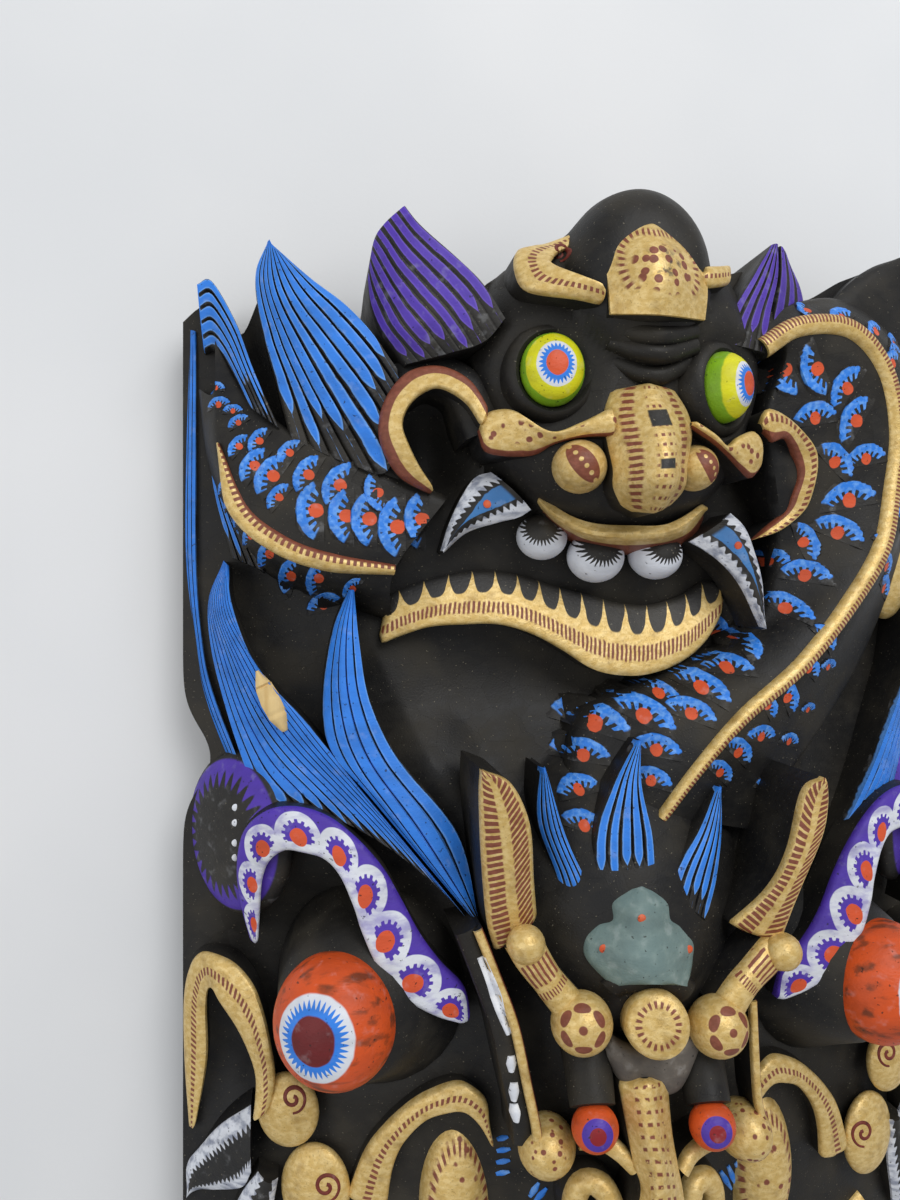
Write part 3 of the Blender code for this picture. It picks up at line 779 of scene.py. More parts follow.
class Palette:
    """Makes each finish once and hands it out by name."""

    def __init__(self) -> None:
        """Make every material."""
        gold = {
            "gold": Gold("gold_paint"),
            "left_rib": Gold("gold_hatched_rib_paint", (("hatches", -0.05, 0.6, 2.7),),
                             under=(0.5, 0.6)),
            "right_rib": Gold("gold_edged_rib_paint", (("hatches", 0.0, 1.1, 1.7),)),
            "gold_dash": Gold("gold_dashed_paint", (("hatches", -0.3, 0.12, 2.3),)),
            "lip_gold": Gold("gold_lip_paint", under=(-0.14, -0.04)),
            "lobe": Gold("gold_lobe_paint", (("spots", 4.0, 0.3, 0.5),), under=(0.78, 0.84)),
            "curl_left": Gold("gold_curl_paint", under=(0.16, 0.24)),
            "curl_right": Gold("gold_combed_curl_paint", (("hatches", -0.7, -0.15, 2.6),),
                               under=(0.42, 0.5)),
            "plate": Gold("gold_plate_paint", (("border", 0.66, 0.8, 36),
                                               ("patch", 4.0, 0.56)), (("worn", 0.3),)),
            "nose": Gold("gold_nose_paint", (("hatches", 0.44, 0.72, 3.0, True),
                                             ("tiles", 8, 4.2, 0.2)),
                         (("squares", (0.2, 15.5, 3.6), (0.15, 35, 2.0)),)),
            "nostril": Gold("gold_nostril_paint", (("drop",),)),
            "jaw": Gold("gold_jaw_paint", (("hatches", -0.6, -0.16, 2.0),),
                        (("scallops", 9.9, 0.16, 0.84),)),
            "leaf": Gold("gold_leaf_paint", (("herringbone", 2.6),)),
            "horn": Gold("gold_horn_paint", (("flutes", 3.2, 6.5, 16), ("flutes", 5, 18.5, 21.5))),
            "lens": Gold("gold_ball_paint", (("lenses", 0.62, 0.17, 6),)),
            "drum": Gold("gold_drum_paint", (("rays", 0.5, 0.7, 20),)),
            "snout": Gold("gold_snout_paint", (("tiles", 3.2, 4.6, 0.62),)),
            "knob_gold": Gold("gold_knob_paint", (("spots", 3.4, 0.3, 0.62),)),
            "frame": Gold("gold_line_paint", under=(0.7, 0.8)),
            "wing": Gold("gold_wing_paint", (("rays", 0.66, 0.8, 30), ("spots", 6.0, 0.2,
                                                                        0.5))),
        }
        self.made = {name: finish.make() for name, finish in gold.items()}
        self.made.update({
            "black": BlackWood().make(),
            "wood": BareWood().make(),
            "blue": Striped("blue_rib_paint").make(),
            "blue_loose": Striped("blue_loose_rib_paint", width=0.3, ends=0.3,
                                  joined=0.02).make(),
            "blue_flame": Striped("blue_flame_paint", width=0.41, ends=0.02,
                                  joined=0.2).make(),
            "hair": Striped("blue_hair_paint", width=0.29, ends=0.12).make(),
            "purple": Striped("purple_rib_paint", HUE.purple, "6a51bb", width=0.27,
                              ends=0.16, joined=0.0).make(),
            "scale": Scaled().make(),
            "beast_eye": RingedEye("yellow_eye_paint", (
                (1.0, HUE.green), (0.9, HUE.yellow), (0.62, HUE.white), (0.5, HUE.blue),
                (0.34, HUE.orange)), 26, 0.5, 0.1).make(),
            "big_eye": RingedEye("orange_eye_paint", (
                (1.0, HUE.eye_orange), (0.63, HUE.white), (0.5, HUE.blue),
                (0.36, "6a1a1c")), 38, 0.5, 0.75).make(),
            "dragon_eye": RingedEye("small_eye_paint", (
                (1.0, HUE.eye_orange), (0.66, HUE.purple), (0.36, "8e1c22")), 0, 0.5,
                0.25).make(),
            "brow": BrowPaint().make(),
            "tooth": ToothPaint().make(),
            "tusk": TuskPaint().make(),
            "white_tusk": TuskPaint("white_hatched_paint", False, 40.0).make(),
            "disc": DiscPaint().make(),
            "crest": Plain("teal_grey_paint", HUE.crest, "7c908c").make(),
            "lip": Plain("grey_lip_paint", HUE.lip, "6c655c").make(),
            "white": Plain("white_dab_paint", HUE.white, "f0f2f5").make(),
            "orange": Plain("orange_dab_paint", HUE.orange, "de6a3e").make(),
            "red": Plain("red_brown_paint", HUE.red_brown, "84382b").make(),
            "blue_dab": Plain("blue_dab_paint", HUE.blue, HUE.blue_light).make(),
            "floor": StudioFloor().make(),
        })

    def __getitem__(self, name: str) -> bpy.types.Material:
        """The material of that name."""
        return self.made[name]


class Relief:
    """The carved surface so far, to lay scales and brush strokes on."""

    def __init__(self) -> None:
        """Start with nothing."""
        self.points = []
        self.faces = []
        self.tree = None

    def add(self, mesh: bpy.types.Mesh) -> None:
        """Take in a finished mesh."""
        start = len(self.points)
        self.points.extend(vert.co.copy() for vert in mesh.vertices)
        self.faces.extend([start + corner for corner in face.vertices] for face in mesh.polygons)
        self.tree = None

    def height(self, x: float, y: float, missing: float = 0.0) -> float:
        """Height of the surface over a spot, all in mm."""
        if self.tree is None:
            self.tree = BVHTree.FromPolygons(self.points, self.faces)
        hit = self.tree.ray_cast(Vector((x * MM, y * MM, SOUNDING_HEIGHT)), Vector((0, 0, -1)))[0]
        return hit.z / MM if hit else missing

    def heights(self, x: np.ndarray, y: np.ndarray, missing: float = 0.0) -> np.ndarray:
        """Heights over many spots."""
        return np.array([self.height(*spot, missing)
                         for spot in zip(x.ravel(), y.ravel())]).reshape(x.shape)


class Piece:
    """One visible piece, gathered from closed carved forms."""

    def __init__(self, name: str, slot: Slot, palette: Palette) -> None:
        """Start an empty piece.

        Args:
            name: name of the object.
            slot: the record's material slot.
            palette: where its finishes come from.
        """
        self.name = name
        self.slot = slot
        self.palette = palette
        self.finishes = []
        self.bm = bmesh.new()
        self.spot = self.bm.verts.layers.float_vector.new("spot")
        self.done = self.bm.verts.layers.int.new("done")

    def finish_number(self, finish: str) -> int:
        """Number of a finish on this piece, added if it is new."""
        if finish not in self.finishes:
            self.finishes.append(finish)
        return self.finishes.index(finish)

    def sheet(self, points: np.ndarray, paint: np.ndarray, finish: str, sink: float = 14.0,
              lip: float = 1.4) -> None:
        """Add a grid surface with black walls that go down into the ground.

        Args:
            points: rows by columns by 3, in mm.
            paint: rows by columns by 2, the paint coordinates.
            finish: name of its finish.
            sink: how far the walls go down.
            lip: how far the finish itself reaches down over the edge.
        """
        rows, columns = points.shape[:2]
        verts = bmesh.ops.create_grid(self.bm, x_segments=columns - 1, y_segments=rows - 1,
                                      size=1.0)["verts"]
        verts.sort(key=lambda vert: (round(vert.co.y, 4), vert.co.x))
        places = points.reshape(-1, 3) * MM
        places[:, 2] = np.minimum(places[:, 2], TOP_HEIGHT * MM)
        for vert, place, spot in zip(verts, places, paint.reshape(-1, 2)):
            vert.co = place
            vert[self.spot] = (*spot, 0)
            vert[self.done] = 1
        faces = list({face for vert in verts for face in vert.link_faces})
        rim = [edge for edge in {edge for face in faces for edge in face.edges}
               if len(edge.link_faces) == 1]
        sides = []
        for drop in (lip, sink):
            walls = bmesh.ops.extrude_edge_only(self.bm, edges=rim)["geom"]
            for vert in walls:
                if isinstance(vert, bmesh.types.BMVert):
                    vert.co.z = max(FOOT_HEIGHT * MM, vert.co.z - drop * MM)
            rim = [edge for edge in walls if isinstance(edge, bmesh.types.BMEdge)
                   and len(edge.link_faces) == 1]
            sides.append([face for face in walls if isinstance(face, bmesh.types.BMFace)])
        floor = bmesh.ops.edgeloop_fill(self.bm, edges=rim)["faces"]
        number = self.finish_number(finish)
        for face in faces + sides[0]:
            face.material_index = number
        number = self.finish_number("black")
        for face in sides[1] + floor:
            face.material_index = number

    def turned(self, profile: Points, centre: Point, finish: str, lean: Point = (0, 0, 1),
               steps: int = 40, stretch: Point = (1, 1)) -> None:
        """Add a form turned about an axis.

        Args:
            profile: (radius, height) points in mm from the foot to the top.
            centre: where the profile's origin goes, in mm.
            finish: name of its finish.
            lean: direction of the axis.
            steps: faces round it.
            stretch: scale across the axis.
        """
        reach = max(radius for radius, _ in profile)
        chain = [self.bm.verts.new((max(radius, 0.0) * MM, 0, height * MM))
                 for radius, height in profile]
        edges = [self.bm.edges.new(pair) for pair in zip(chain, chain[1:])]
        bmesh.ops.spin(self.bm, geom=chain + edges, angle=2 * math.pi, steps=steps,
                       axis=(0, 0, 1), cent=(0, 0, 0), use_merge=True)
        verts = [vert for vert in self.bm.verts if not vert[self.done]]
        bmesh.ops.remove_doubles(self.bm, verts=verts, dist=1e-6)
        verts = [vert for vert in self.bm.verts if not vert[self.done]]
        turn = Vector((0, 0, 1)).rotation_difference(Vector(lean).normalized()).to_matrix()
        place = Vector(centre) * MM
        number = self.finish_number(finish)
        for vert in verts:
            vert[self.spot] = (vert.co.x / (reach * MM), vert.co.y / (reach * MM), 0)
            vert[self.done] = 1
            local = Vector((vert.co.x * stretch[0], vert.co.y * stretch[1], vert.co.z))
            vert.co = turn @ local + place
            vert.co.z = min(vert.co.z, TOP_HEIGHT * MM)
        for face in {face for vert in verts for face in vert.link_faces}:
            face.material_index = number

    def ball(self, centre: Point, radius: float, bulge: float, finish: str,
             lean: Point = (0, 0, 1), steps: int = 36, stretch: Point = (1, 1)) -> None:
        """Add a squashed ball, bulge high above its middle; the rest as for turned."""
        turns = np.linspace(-math.pi / 2, math.pi / 2, steps // 2)
        self.turned([(radius * math.cos(turn), bulge * math.sin(turn)) for turn in turns],
                    centre, finish, lean, steps, stretch)

    def drape(self, path: Points, half_width: float, finish: str, relief: Relief,
              taper: Point = (1, 1, 1), lift: float = 0.35) -> None:
        """Lay a brush stroke on the carved surface.

        Args:
            path: (x, y) points of its middle line, in mm.
            half_width: half its width.
            finish: name of its finish.
            relief: the surface under it.
            taper: shares of the width along it.
            lift: thickness of the paint.
        """
        points, spots = band([(*point, 0) for point in path], half_width, 0, taper, 0.8, 7)
        under = relief.heights(points[:, :, 0], points[:, :, 1])
        points[:, :, 2] = under + lift * (1.2 - spots[:, :, 0] ** 2)
        self.sheet(points, spots, finish, 0.5, 1.0)

    def dab(self, spot: Point, radius: float, finish: str, relief: Relief) -> None:
        """Lay a round dab of paint on the carved surface."""
        self.ball((*spot, relief.height(*spot)), radius, 0.5, finish, steps=14)

    def close(self, relief: Relief | None = None) -> bpy.types.Object:
        """Make the object and register it.

        Args:
            relief: surface that takes the piece in, if any.

        Returns:
            The object.
        """
        bmesh.ops.recalc_face_normals(self.bm, faces=self.bm.faces)
        layer = self.bm.loops.layers.uv.new("paint")
        for face in self.bm.faces:
            face.smooth = True
            for loop in face.loops:
                loop[layer].uv = loop.vert[self.spot][:2]
        mesh = bpy.data.meshes.new(self.name)
        self.bm.to_mesh(mesh)
        self.bm.free()
        mesh.set_sharp_from_angle(angle=math.radians(SHARP_ANGLE))
        for finish in self.finishes:
            mesh.materials.append(self.palette[finish])
        piece = bpy.data.objects.new(self.name, mesh)
        bpy.context.scene.collection.objects.link(piece)
        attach(piece, "root")
        if relief:
            relief.add(mesh)
        log.info("%s: %d faces, %s", self.name, len(mesh.polygons), self.slot.value)
        return piece


def fan(rails: Rails, rows: int, columns: int, crown: float = 0.0) -> Grid:
    """Stretch a surface over rails that run side by side from a tip to a root.

    Rails of as many points each are taken as points that lie side by side.

    Args:
        rails: two or more lists of points.
        rows: points along.
        columns: points across.
        crown: how far its middle is domed.

    Returns:
        The points, and shares of the way across and along.
    """
    if len({len(rail) for rail in rails}) == 1:
        paths = matched_paths(rails, rows)
    else:
        paths = [smooth_path(rail, rows) for rail in rails]
    points = np.array([smooth_path([path[row] for path in paths], columns)
                       for row in range(rows)])
    share = np.linspace(0, 1, columns)
    points[:, :, 2] += crown * (1 - (2 * share - 1) ** 2)
    spots = np.stack(np.meshgrid(share, np.linspace(0, 1, rows)), axis=-1)
    return points, spots


def soften(points: np.ndarray, radius: float = 1.6) -> np.ndarray:
    """Round off the long edges of a sheet as if with a knife.

    Args:
        points: rows by columns by 3, in mm.
        radius: of the rounding.

    Returns:
        The points with their edges lowered.
    """
    steps = np.linalg.norm(np.diff(points, axis=1), axis=2)
    along = np.concatenate([np.zeros((len(points), 1)), np.cumsum(steps, axis=1)], axis=1)
    gap = np.minimum(along, along[:, -1:] - along)
    drop = radius - np.sqrt(np.clip(radius ** 2 - np.clip(radius - gap, 0, None) ** 2, 0, None))
    points = points.copy()
    points[:, :, 2] -= drop
    return points


def fluted(rails: Rails, stripes: int, rows: int = 48, crown: float = 3.0, depth: float = 2.2,
           width: float = 0.36) -> Grid:
    """A fan with rounded ribs and cut grooves from its tip to its root.

    Args:
        rails: as for fan.
        stripes: how many ribs.
        rows: points along.
        crown: how far its middle is domed.
        depth: of the grooves.
        width: half width of a rib, as a share of a stripe.

    Returns:
        The points and the paint coordinates, which count the ribs across.
    """
    points, spots = fan(rails, rows, stripes * 8 + 1, crown)
    phase = spots[:, :, 0] * stripes
    gap = np.abs(phase - np.floor(phase) - 0.5)
    groove = np.clip((gap - width) / (0.5 - width), 0, 1)
    rise = np.clip(spots[:, :, 1] / 0.1, 0.15, 1)
    points[:, :, 2] -= depth * groove * rise
    return soften(points), np.stack([phase, spots[:, :, 1]], axis=-1)


def band(spine: Points, half_width: float, drop: float, taper: Point = (1, 1, 1),
         step: float = 1.5, columns: int = 13, side: int = 1) -> Grid:
    """A half-round band along a spine.

    Args:
        spine: points of its middle line.
        half_width: half its width.
        drop: how much lower its edges are than its middle.
        taper: shares of the width from its start to its end.
        step: spacing of rows.
        columns: points across.
        side: -1 turns the paint round, left to right.

    Returns:
        The points, and paint coordinates from -1 to 1 across and in mm along.
    """
    length = path_length(spine)
    rows = max(6, int(length / step))
    path = smooth_path(spine, rows)
    heading = np.gradient(path[:, :2], axis=0)
    heading /= np.linalg.norm(heading, axis=1)[:, None]
    widths = half_width * np.interp(np.linspace(0, 1, rows), np.linspace(0, 1, len(taper)),
                                    taper)
    share = np.sin(np.linspace(-1, 1, columns) * math.pi / 2)
    points = np.repeat(path[:, None, :], columns, axis=1)
    points[:, :, 0] += share * -heading[:, 1:2] * widths[:, None]
    points[:, :, 1] += share * heading[:, 0:1] * widths[:, None]
    points[:, :, 2] -= drop * (1 - np.sqrt(1 - share ** 2))
    along = np.linspace(0, length, rows)
    spots = np.stack(np.meshgrid(side * share, along), axis=-1)
    return points, spots


def strip(*rails: Points, crown: float = 3.0, step: float = 1.4, columns: int = 17,
          power: float = 2.4, side: int = 1, ends: float = 2.5) -> Grid:
    """A domed strip between rails that run side by side.

    Args:
        rails: two or more lists of points.
        crown: how far its middle is domed.
        step: spacing of rows.
        columns: points across.
        power: how square its back is.
        side: -1 turns the paint round, left to right.
        ends: radius of its rounded ends.

    Returns:
        The points, and paint coordinates from -1 to 1 across and in mm along.
    """
    length = sum(path_length(rail) for rail in rails) / len(rails)
    points, shares = fan(rails, max(8, int(length / step)), columns)
    across = 2 * shares[:, :, 0] - 1
    points[:, :, 2] += crown * (1 - np.abs(across) ** power) ** (1 / power)
    along = shares[:, :, 1] * length
    gap = np.clip(1 - np.minimum(along, length - along) / ends, 0, 1)[:, :, None]
    middle = points.mean(axis=1, keepdims=True)
    points[:, :, :2] += (middle - points)[:, :, :2] * (1 - np.sqrt(1 - 0.75 * gap ** 2))
    points[:, :, 2] -= 0.6 * ends * (1 - np.sqrt(1 - gap[:, :, 0] ** 2))
    return points, np.stack([side * across, along], axis=-1)


def spiral(centre: Point, radius: float, turns: float, side: int) -> list:
    """Points of a spiral that winds in to its centre, as (x, y)."""
    shares = np.linspace(0, 1, 24)
    angles = side * 2 * math.pi * turns * shares - math.pi / 2
    return [(centre[0] + radius * (1 - 0.85 * share) * math.cos(angle),
             centre[1] + radius * (1 - 0.85 * share) * math.sin(angle))
            for share, angle in zip(shares, angles)]


@dataclass
class SubAssembly:
    """Pieces that are built together.

    Args:
        palette: their finishes.
        relief: the carved surface so far, which their paint lies on.
    """

    palette: Palette
    relief: Relief

    def piece(self, name: str, slot: Slot) -> Piece:
        """Start one of the pieces."""
        return Piece(name, slot, self.palette)


@dataclass(frozen=True)
class Swell:
    """A soft rise of the ground, or a hollow where its height is below 0.

    Args:
        height: at its middle, in mm.
        x: its middle, counted from about.
        y: its middle.
        width: half its width.
        length: half its length.
        about: the middle line between it and its twin.
        paired: whether it has a twin on the other side.
    """

    height: float
    x: float
    y: float
    width: float
    length: float
    about: float = 0.0
    paired: bool = True

    def over(self, x: Field, y: Field) -> Field:
        """Its height over some spots, with its twin's."""
        sides = (-1, 1) if self.paired else (1,)
        return sum(self.height * dish(x, y, (self.about + side * self.x, self.y),
                                      (self.width, self.length)) for side in sides)


@dataclass
class Block(SubAssembly):
    """The blank: black ground in front, straight sides, flat rim and hollow back.

    Args:
        columns: points across the front.
        rows: points up the front.
        back_columns: points across the hollow.
        back_rows: points up the hollow.
        rim_width: flat rim at the sides, in mm.
        crown_rim: flat rim at the crown.
        chin_rim: flat rim at the chin.
        hollow_height: height of the hollow in its middle.
        wall: least thickness of wood over the hollow.
        eye_hollow: round the big stalked eyes.
        temple: beside the beast's eyes.
        cheek: beside the big eyes.
        throat: under the beast's jaw.
        muzzle: the large face's nose and mouth.
        chin_hollow: under the large mouth.
        socket: of the beast's eyes.
    """

    columns: int = 200
    rows: int = 310
    back_columns: int = 56
    back_rows: int = 84
    rim_width: float = 26.0
    crown_rim: float = 62.0
    chin_rim: float = 36.0
    hollow_height: float = 60.0
    wall: float = 17.0
    eye_hollow: Swell = Swell(-20, 112, -34, 62, 56)
    temple: Swell = Swell(-14, 74, 178, 26, 30, HEAD_AXIS)
    cheek: Swell = Swell(-10, 152, -76, 24, 44)
    throat: Swell = Swell(-8, -8, 84, 80, 44, paired=False)
    muzzle: Swell = Swell(19, HEAD_AXIS, -64, 74, 130, paired=False)
    chin_hollow: Swell = Swell(-16, 0, -212, 110, 34, paired=False)
    socket: Swell = Swell(-9, 35.5, 198, 27, 27, HEAD_AXIS)

    def __post_init__(self) -> None:
        """Prepare the outlines."""
        self.spine = smooth_table(GROUND_SPINE)
        self.crown = smooth_table(CROWN_LINE)

    def height(self, x: Field, y: Field, fine: bool = True) -> Field:
        """Height of the black ground.

        Args:
            x: across, in mm.
            y: up, in mm.
            fine: with the facets and sockets that only show from the front.

        Returns:
            Heights in mm.
        """
        share = np.minimum(1.0, np.abs(x) / HALF_WIDTH)
        z = EDGE_HEIGHT + (self.spine(y) - EDGE_HEIGHT) * (1 - share ** 2.2)
        face = mound(x, y, (HEAD_AXIS, 206), (62, 66), power=2)
        crown = mound(x, y, (4, 238), (31, 38), power=2)
        z = np.where(face > 0, np.maximum(z, 62 + 35 * face), z)
        z = np.where(crown > 0, np.maximum(z, 78 + 31 * crown), z)
        for swell in (self.eye_hollow, self.temple, self.cheek, self.throat):
            z = z + swell.over(x, y)
        head = mound(x, y, (3, -4), (60, 62))
        z = np.where(head > 0, np.maximum(z, 46 + 48 * head), z)
        z = z + self.muzzle.over(x, y) + self.chin_hollow.over(x, y)
        if fine:
            z = z + self.socket.over(x, y)
            for side in (-1, 1):
                z = z + 4 * crease(x, y, (side * 95, 95), (side * 73, 49), 22)
                z = z + 4 * crease(x, y, (side * 73, 49), (side * 50, 18), 22)
        return z

    def plan(self, share: np.ndarray, run: np.ndarray, half_width: float, depth: float,
             height: float | None = None) -> Grid:
        """Spots of the outline's grid.

        Args:
            share: across, 0 to 1.
            run: along, 0 to 1.
            half_width: half the width.
            depth: reach of the chin.
            height: reach of the crown, or None for the crown line.

        Returns:
            Arrays of x and y.
        """
        x = half_width * (2 * share - 1)
        near = np.minimum(1.0, np.abs(x) / half_width)
        low = CHIN_CORNER - (depth + CHIN_CORNER) * np.sqrt(1 - near ** 2.6)
        high = self.crown(x) if height is None else height * (1 - 0.34 * near ** 3)
        y = low + (high - low) * run
        return x * (1 - 0.07 * np.exp(-((y - 48) / 17) ** 2)), y

    def build(self) -> bpy.types.Object:
        """Build the piece that stands for the CAD node."""
        piece = self.piece("carved_block", Slot.BLACK)
        share, run = np.meshgrid(np.linspace(0, 1, self.columns), np.linspace(0, 1, self.rows))
        x, y = self.plan(share, run, HALF_WIDTH, HALF_HEIGHT)
        front = np.stack([x, y, self.height(x, y)], axis=-1)
        self._shell(piece, front)
        mask = piece.close(self.relief)
        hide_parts("mask")
        return mask

    def _shell(self, piece: Piece, front: np.ndarray) -> None:
        """Join the front to the rim and the hollow with walls between them."""
        bm = piece.bm
        share, run = np.meshgrid(np.linspace(0, 1, self.back_columns),
                                 np.linspace(0, 1, self.back_rows))
        x, y = self.plan(share, run, HALF_WIDTH - self.rim_width, HALF_HEIGHT - self.chin_rim,
                         HALF_HEIGHT - self.crown_rim)
        across = 1 - np.abs(2 * share - 1) ** 3
        along = 1 - np.abs(2 * run - 1) ** 4
        dome = self.hollow_height * (0.2 + 0.8 * across * along)
        roof = np.minimum(dome, self.height(x, y, fine=False) - self.wall)
        grids = []
        for points in (front, np.stack([x, y, roof], axis=-1)):
            rows, columns = points.shape[:2]
            verts = bmesh.ops.create_grid(bm, x_segments=columns - 1, y_segments=rows - 1,
                                          size=1.0)["verts"]
            for vert, place in zip(verts, points.reshape(-1, 3) * MM):
                vert.co = place
            faces = list({face for vert in verts for face in vert.link_faces})
            rim = [edge for edge in {edge for face in faces for edge in face.edges}
                   if len(edge.link_faces) == 1]
            walls = bmesh.ops.extrude_edge_only(bm, edges=rim)["geom"]
            for item in walls:
                if isinstance(item, bmesh.types.BMVert):
                    item.co.z = 0.0
            sides = [item for item in walls if isinstance(item, bmesh.types.BMFace)]
            low = [item for item in walls if isinstance(item, bmesh.types.BMEdge)
                   and len(item.link_faces) == 1]
            grids.append((faces, sides, low))
        ring = bmesh.ops.triangle_fill(bm, edges=grids[0][2] + grids[1][2],
                                       use_beauty=True)["geom"]
        black, bare = piece.finish_number("black"), piece.finish_number("wood")
        for face in grids[0][0] + grids[0][1]:
            face.material_index = black
        rim_faces = [item for item in ring if isinstance(item, bmesh.types.BMFace)]
        for face in grids[1][0] + grids[1][1] + rim_faces:
            face.material_index = bare


@dataclass
class Crown(SubAssembly):
    """Fins, and the ears of the beast."""

    def build(self) -> None:
        """Build the fins and ears."""
        fins = self.piece("crown_fins", Slot.BLUE)
        fins.sheet(*fluted(
            [[(-167, 245, 44), (-161, 246, 46), (-151, 228, 52), (-143, 206, 58),
              (-133, 183, 60)],
             [(-165, 219, 36), (-161, 220, 40), (-157, 216, 46), (-151, 205, 52),
              (-145, 192, 56)]], 5, crown=2), "blue_loose", sink=24)
        fins.sheet(*fluted(
            [[(-138, 257, 60), (-143, 244, 58), (-140, 222, 60), (-135, 203, 62),
              (-129, 179, 62)],
             [(-138, 257, 60), (-136, 237, 64), (-127, 213, 67), (-115, 190, 68),
              (-107, 169, 67)],
             [(-137, 257, 61), (-129, 236, 67), (-116, 214, 71), (-102, 191, 72),
              (-91, 166, 69)],
             [(-137, 256, 61), (-123, 239, 68), (-110, 225, 73), (-98, 212, 75),
              (-87, 192, 74)],
             [(-137, 257, 60), (-121, 242, 66), (-108, 231, 72), (-98, 220, 75),
              (-88, 206, 76)]], 9, rows=90, crown=2), "blue", sink=34)
        fins.sheet(*fluted(
            [[(-164, 183, 34), (-161, 160, 36), (-154, 133, 38)],
             [(-161, 176, 40), (-152, 152, 44), (-140, 127, 47)]], 4, rows=40, crown=1),
            "blue_loose", sink=20)
        fins.sheet(*fluted(
            [[(158, 256, 40), (150, 226, 50), (146, 190, 54)],
             [(168, 252, 36), (170, 222, 34), (162, 184, 36)]], 4), "blue", sink=22)
        fins.close(self.relief)
        black = self.piece("black_fin", Slot.BLACK)
        black.sheet(*strip([(144, 271, 50), (124, 262, 56), (104, 245, 60), (92, 226, 60)],
                           [(146, 271, 50), (160, 244, 46), (154, 206, 46), (146, 196, 46)],
                           crown=5), "black", sink=30)
        black.close(self.relief)
        leaf = self.piece("right_gold_leaf", Slot.GOLD)
        leaf.ball((140, 129, 46), 12, 9, "gold", (0.3, 0, 1), stretch=(1, 1.9))
        leaf.close(self.relief)
        ears = self.piece("beast_ears", Slot.PURPLE)
        ears.sheet(*fluted(
            [[(-99, 240, 70), (-98, 230, 72), (-95, 221, 74), (-90, 213, 76), (-85, 206, 78)],
             [(-97, 254, 73), (-94, 237, 78), (-88, 223, 82), (-80, 215, 84), (-69, 209, 85)],
             [(-93, 260, 77), (-89, 247, 82), (-82, 234, 85), (-70, 222, 88), (-56, 213, 89)],
             [(-85, 267, 80), (-79, 258, 84), (-65, 245, 87), (-56, 235, 90), (-48, 222, 92)]],
            8, rows=80, crown=1, depth=0.6), "purple", sink=44)
        ears.sheet(*fluted(
            [[(66, 261, 80), (56, 247, 84), (45, 231, 88), (36, 217, 91)],
             [(69, 261, 80), (68, 247, 82), (64, 232, 84), (60, 214, 87)]], 4, rows=56,
            crown=1, depth=0.6), "purple", sink=40)
        ears.sheet(*fluted(
            [[(70, 261, 80), (69, 247, 81), (65, 232, 83), (61, 214, 85)],
             [(78, 257, 72), (87, 249, 66), (90, 240, 64), (88, 228, 64)]], 3, rows=40,
            crown=1, depth=0.6), "purple", sink=40)
        ears.close(self.relief)


# The left body's rails, rib and scales, then the right body's
LEFT_RAILS = [[(-160, 226, 42), (-147, 202, 51), (-131, 185, 60), (-109, 174, 67), (-66, 157, 68)],
         [(-160, 200, 47), (-158, 178, 51), (-149, 151, 59), (-133, 137, 65),
          (-114, 130, 68), (-88, 127, 67)],
         [(-168, 204, 34), (-164, 172, 34), (-153, 146, 38), (-136, 124, 44),
          (-88, 106, 54)]]
LEFT_RIB = [(-158, 178, 54), (-149, 151, 62), (-133, 137, 68), (-114, 130, 71), (-88, 127, 70)]
LEFT_SCALES = ((-159, 202, 80, 3.3), (-158, 195, 95, 4.2), (-152, 192, 90, 3.5),
            (-150, 187, 120, 4.0), (-150, 177, 140, 4.9), (-142, 179, 145, 5.2),
            (-144, 169, 145, 6.9), (-130, 174, 135, 5.4), (-137, 165, 145, 8.3),
            (-123, 165, 150, 7.2), (-134, 156, 140, 5.4), (-121, 150, 180, 9.8),
            (-111, 161, 150, 8.3), (-109, 148, 180, 9.1), (-100, 147, 180, 9.4),
            (-96, 157, 200, 6.9), (-89, 144, 180, 10.1), (-79, 147, 185, 9.1),
            (-156, 161, 120, 3.3), (-153, 155, 120, 3.6), (-149, 148, 125, 4.0),
            (-145, 141, 130, 4.3), (-138, 134, 140, 5.8), (-130, 125, 160, 6.5),
            (-119, 124, 160, 6.2), (-116, 114, 110, 6.2), (-105, 120, 140, 4.3))
RIGHT_RIB = [(58, 216, 91), (75, 226, 89), (100, 227, 85), (118, 212, 81), (125, 187, 79),
           (122, 161, 80), (115, 136, 83), (97, 111, 86), (75, 88, 89), (49, 68, 91),
           (30, 48, 91), (15, 29, 90)]
RIGHT_RAILS = [[(60, 224, 82), (70, 214, 82), (62, 190, 80), (67, 165, 78), (73, 134, 70),
          (60, 100, 68), (22, 82, 66), (-12, 66, 68), (-22, 24, 78)],
         [(x, y, z - 3) for x, y, z in RIGHT_RIB],
         [(66, 236, 80), (110, 247, 62), (146, 224, 56), (154, 180, 52), (143, 135, 54),
          (126, 97, 58), (100, 62, 66), (60, 20, 76)]]
RIGHT_LANES = [(0.74, 0.24, 0.56, 5, 6.5), (0.9, 0.24, 0.6, 6, 7)]
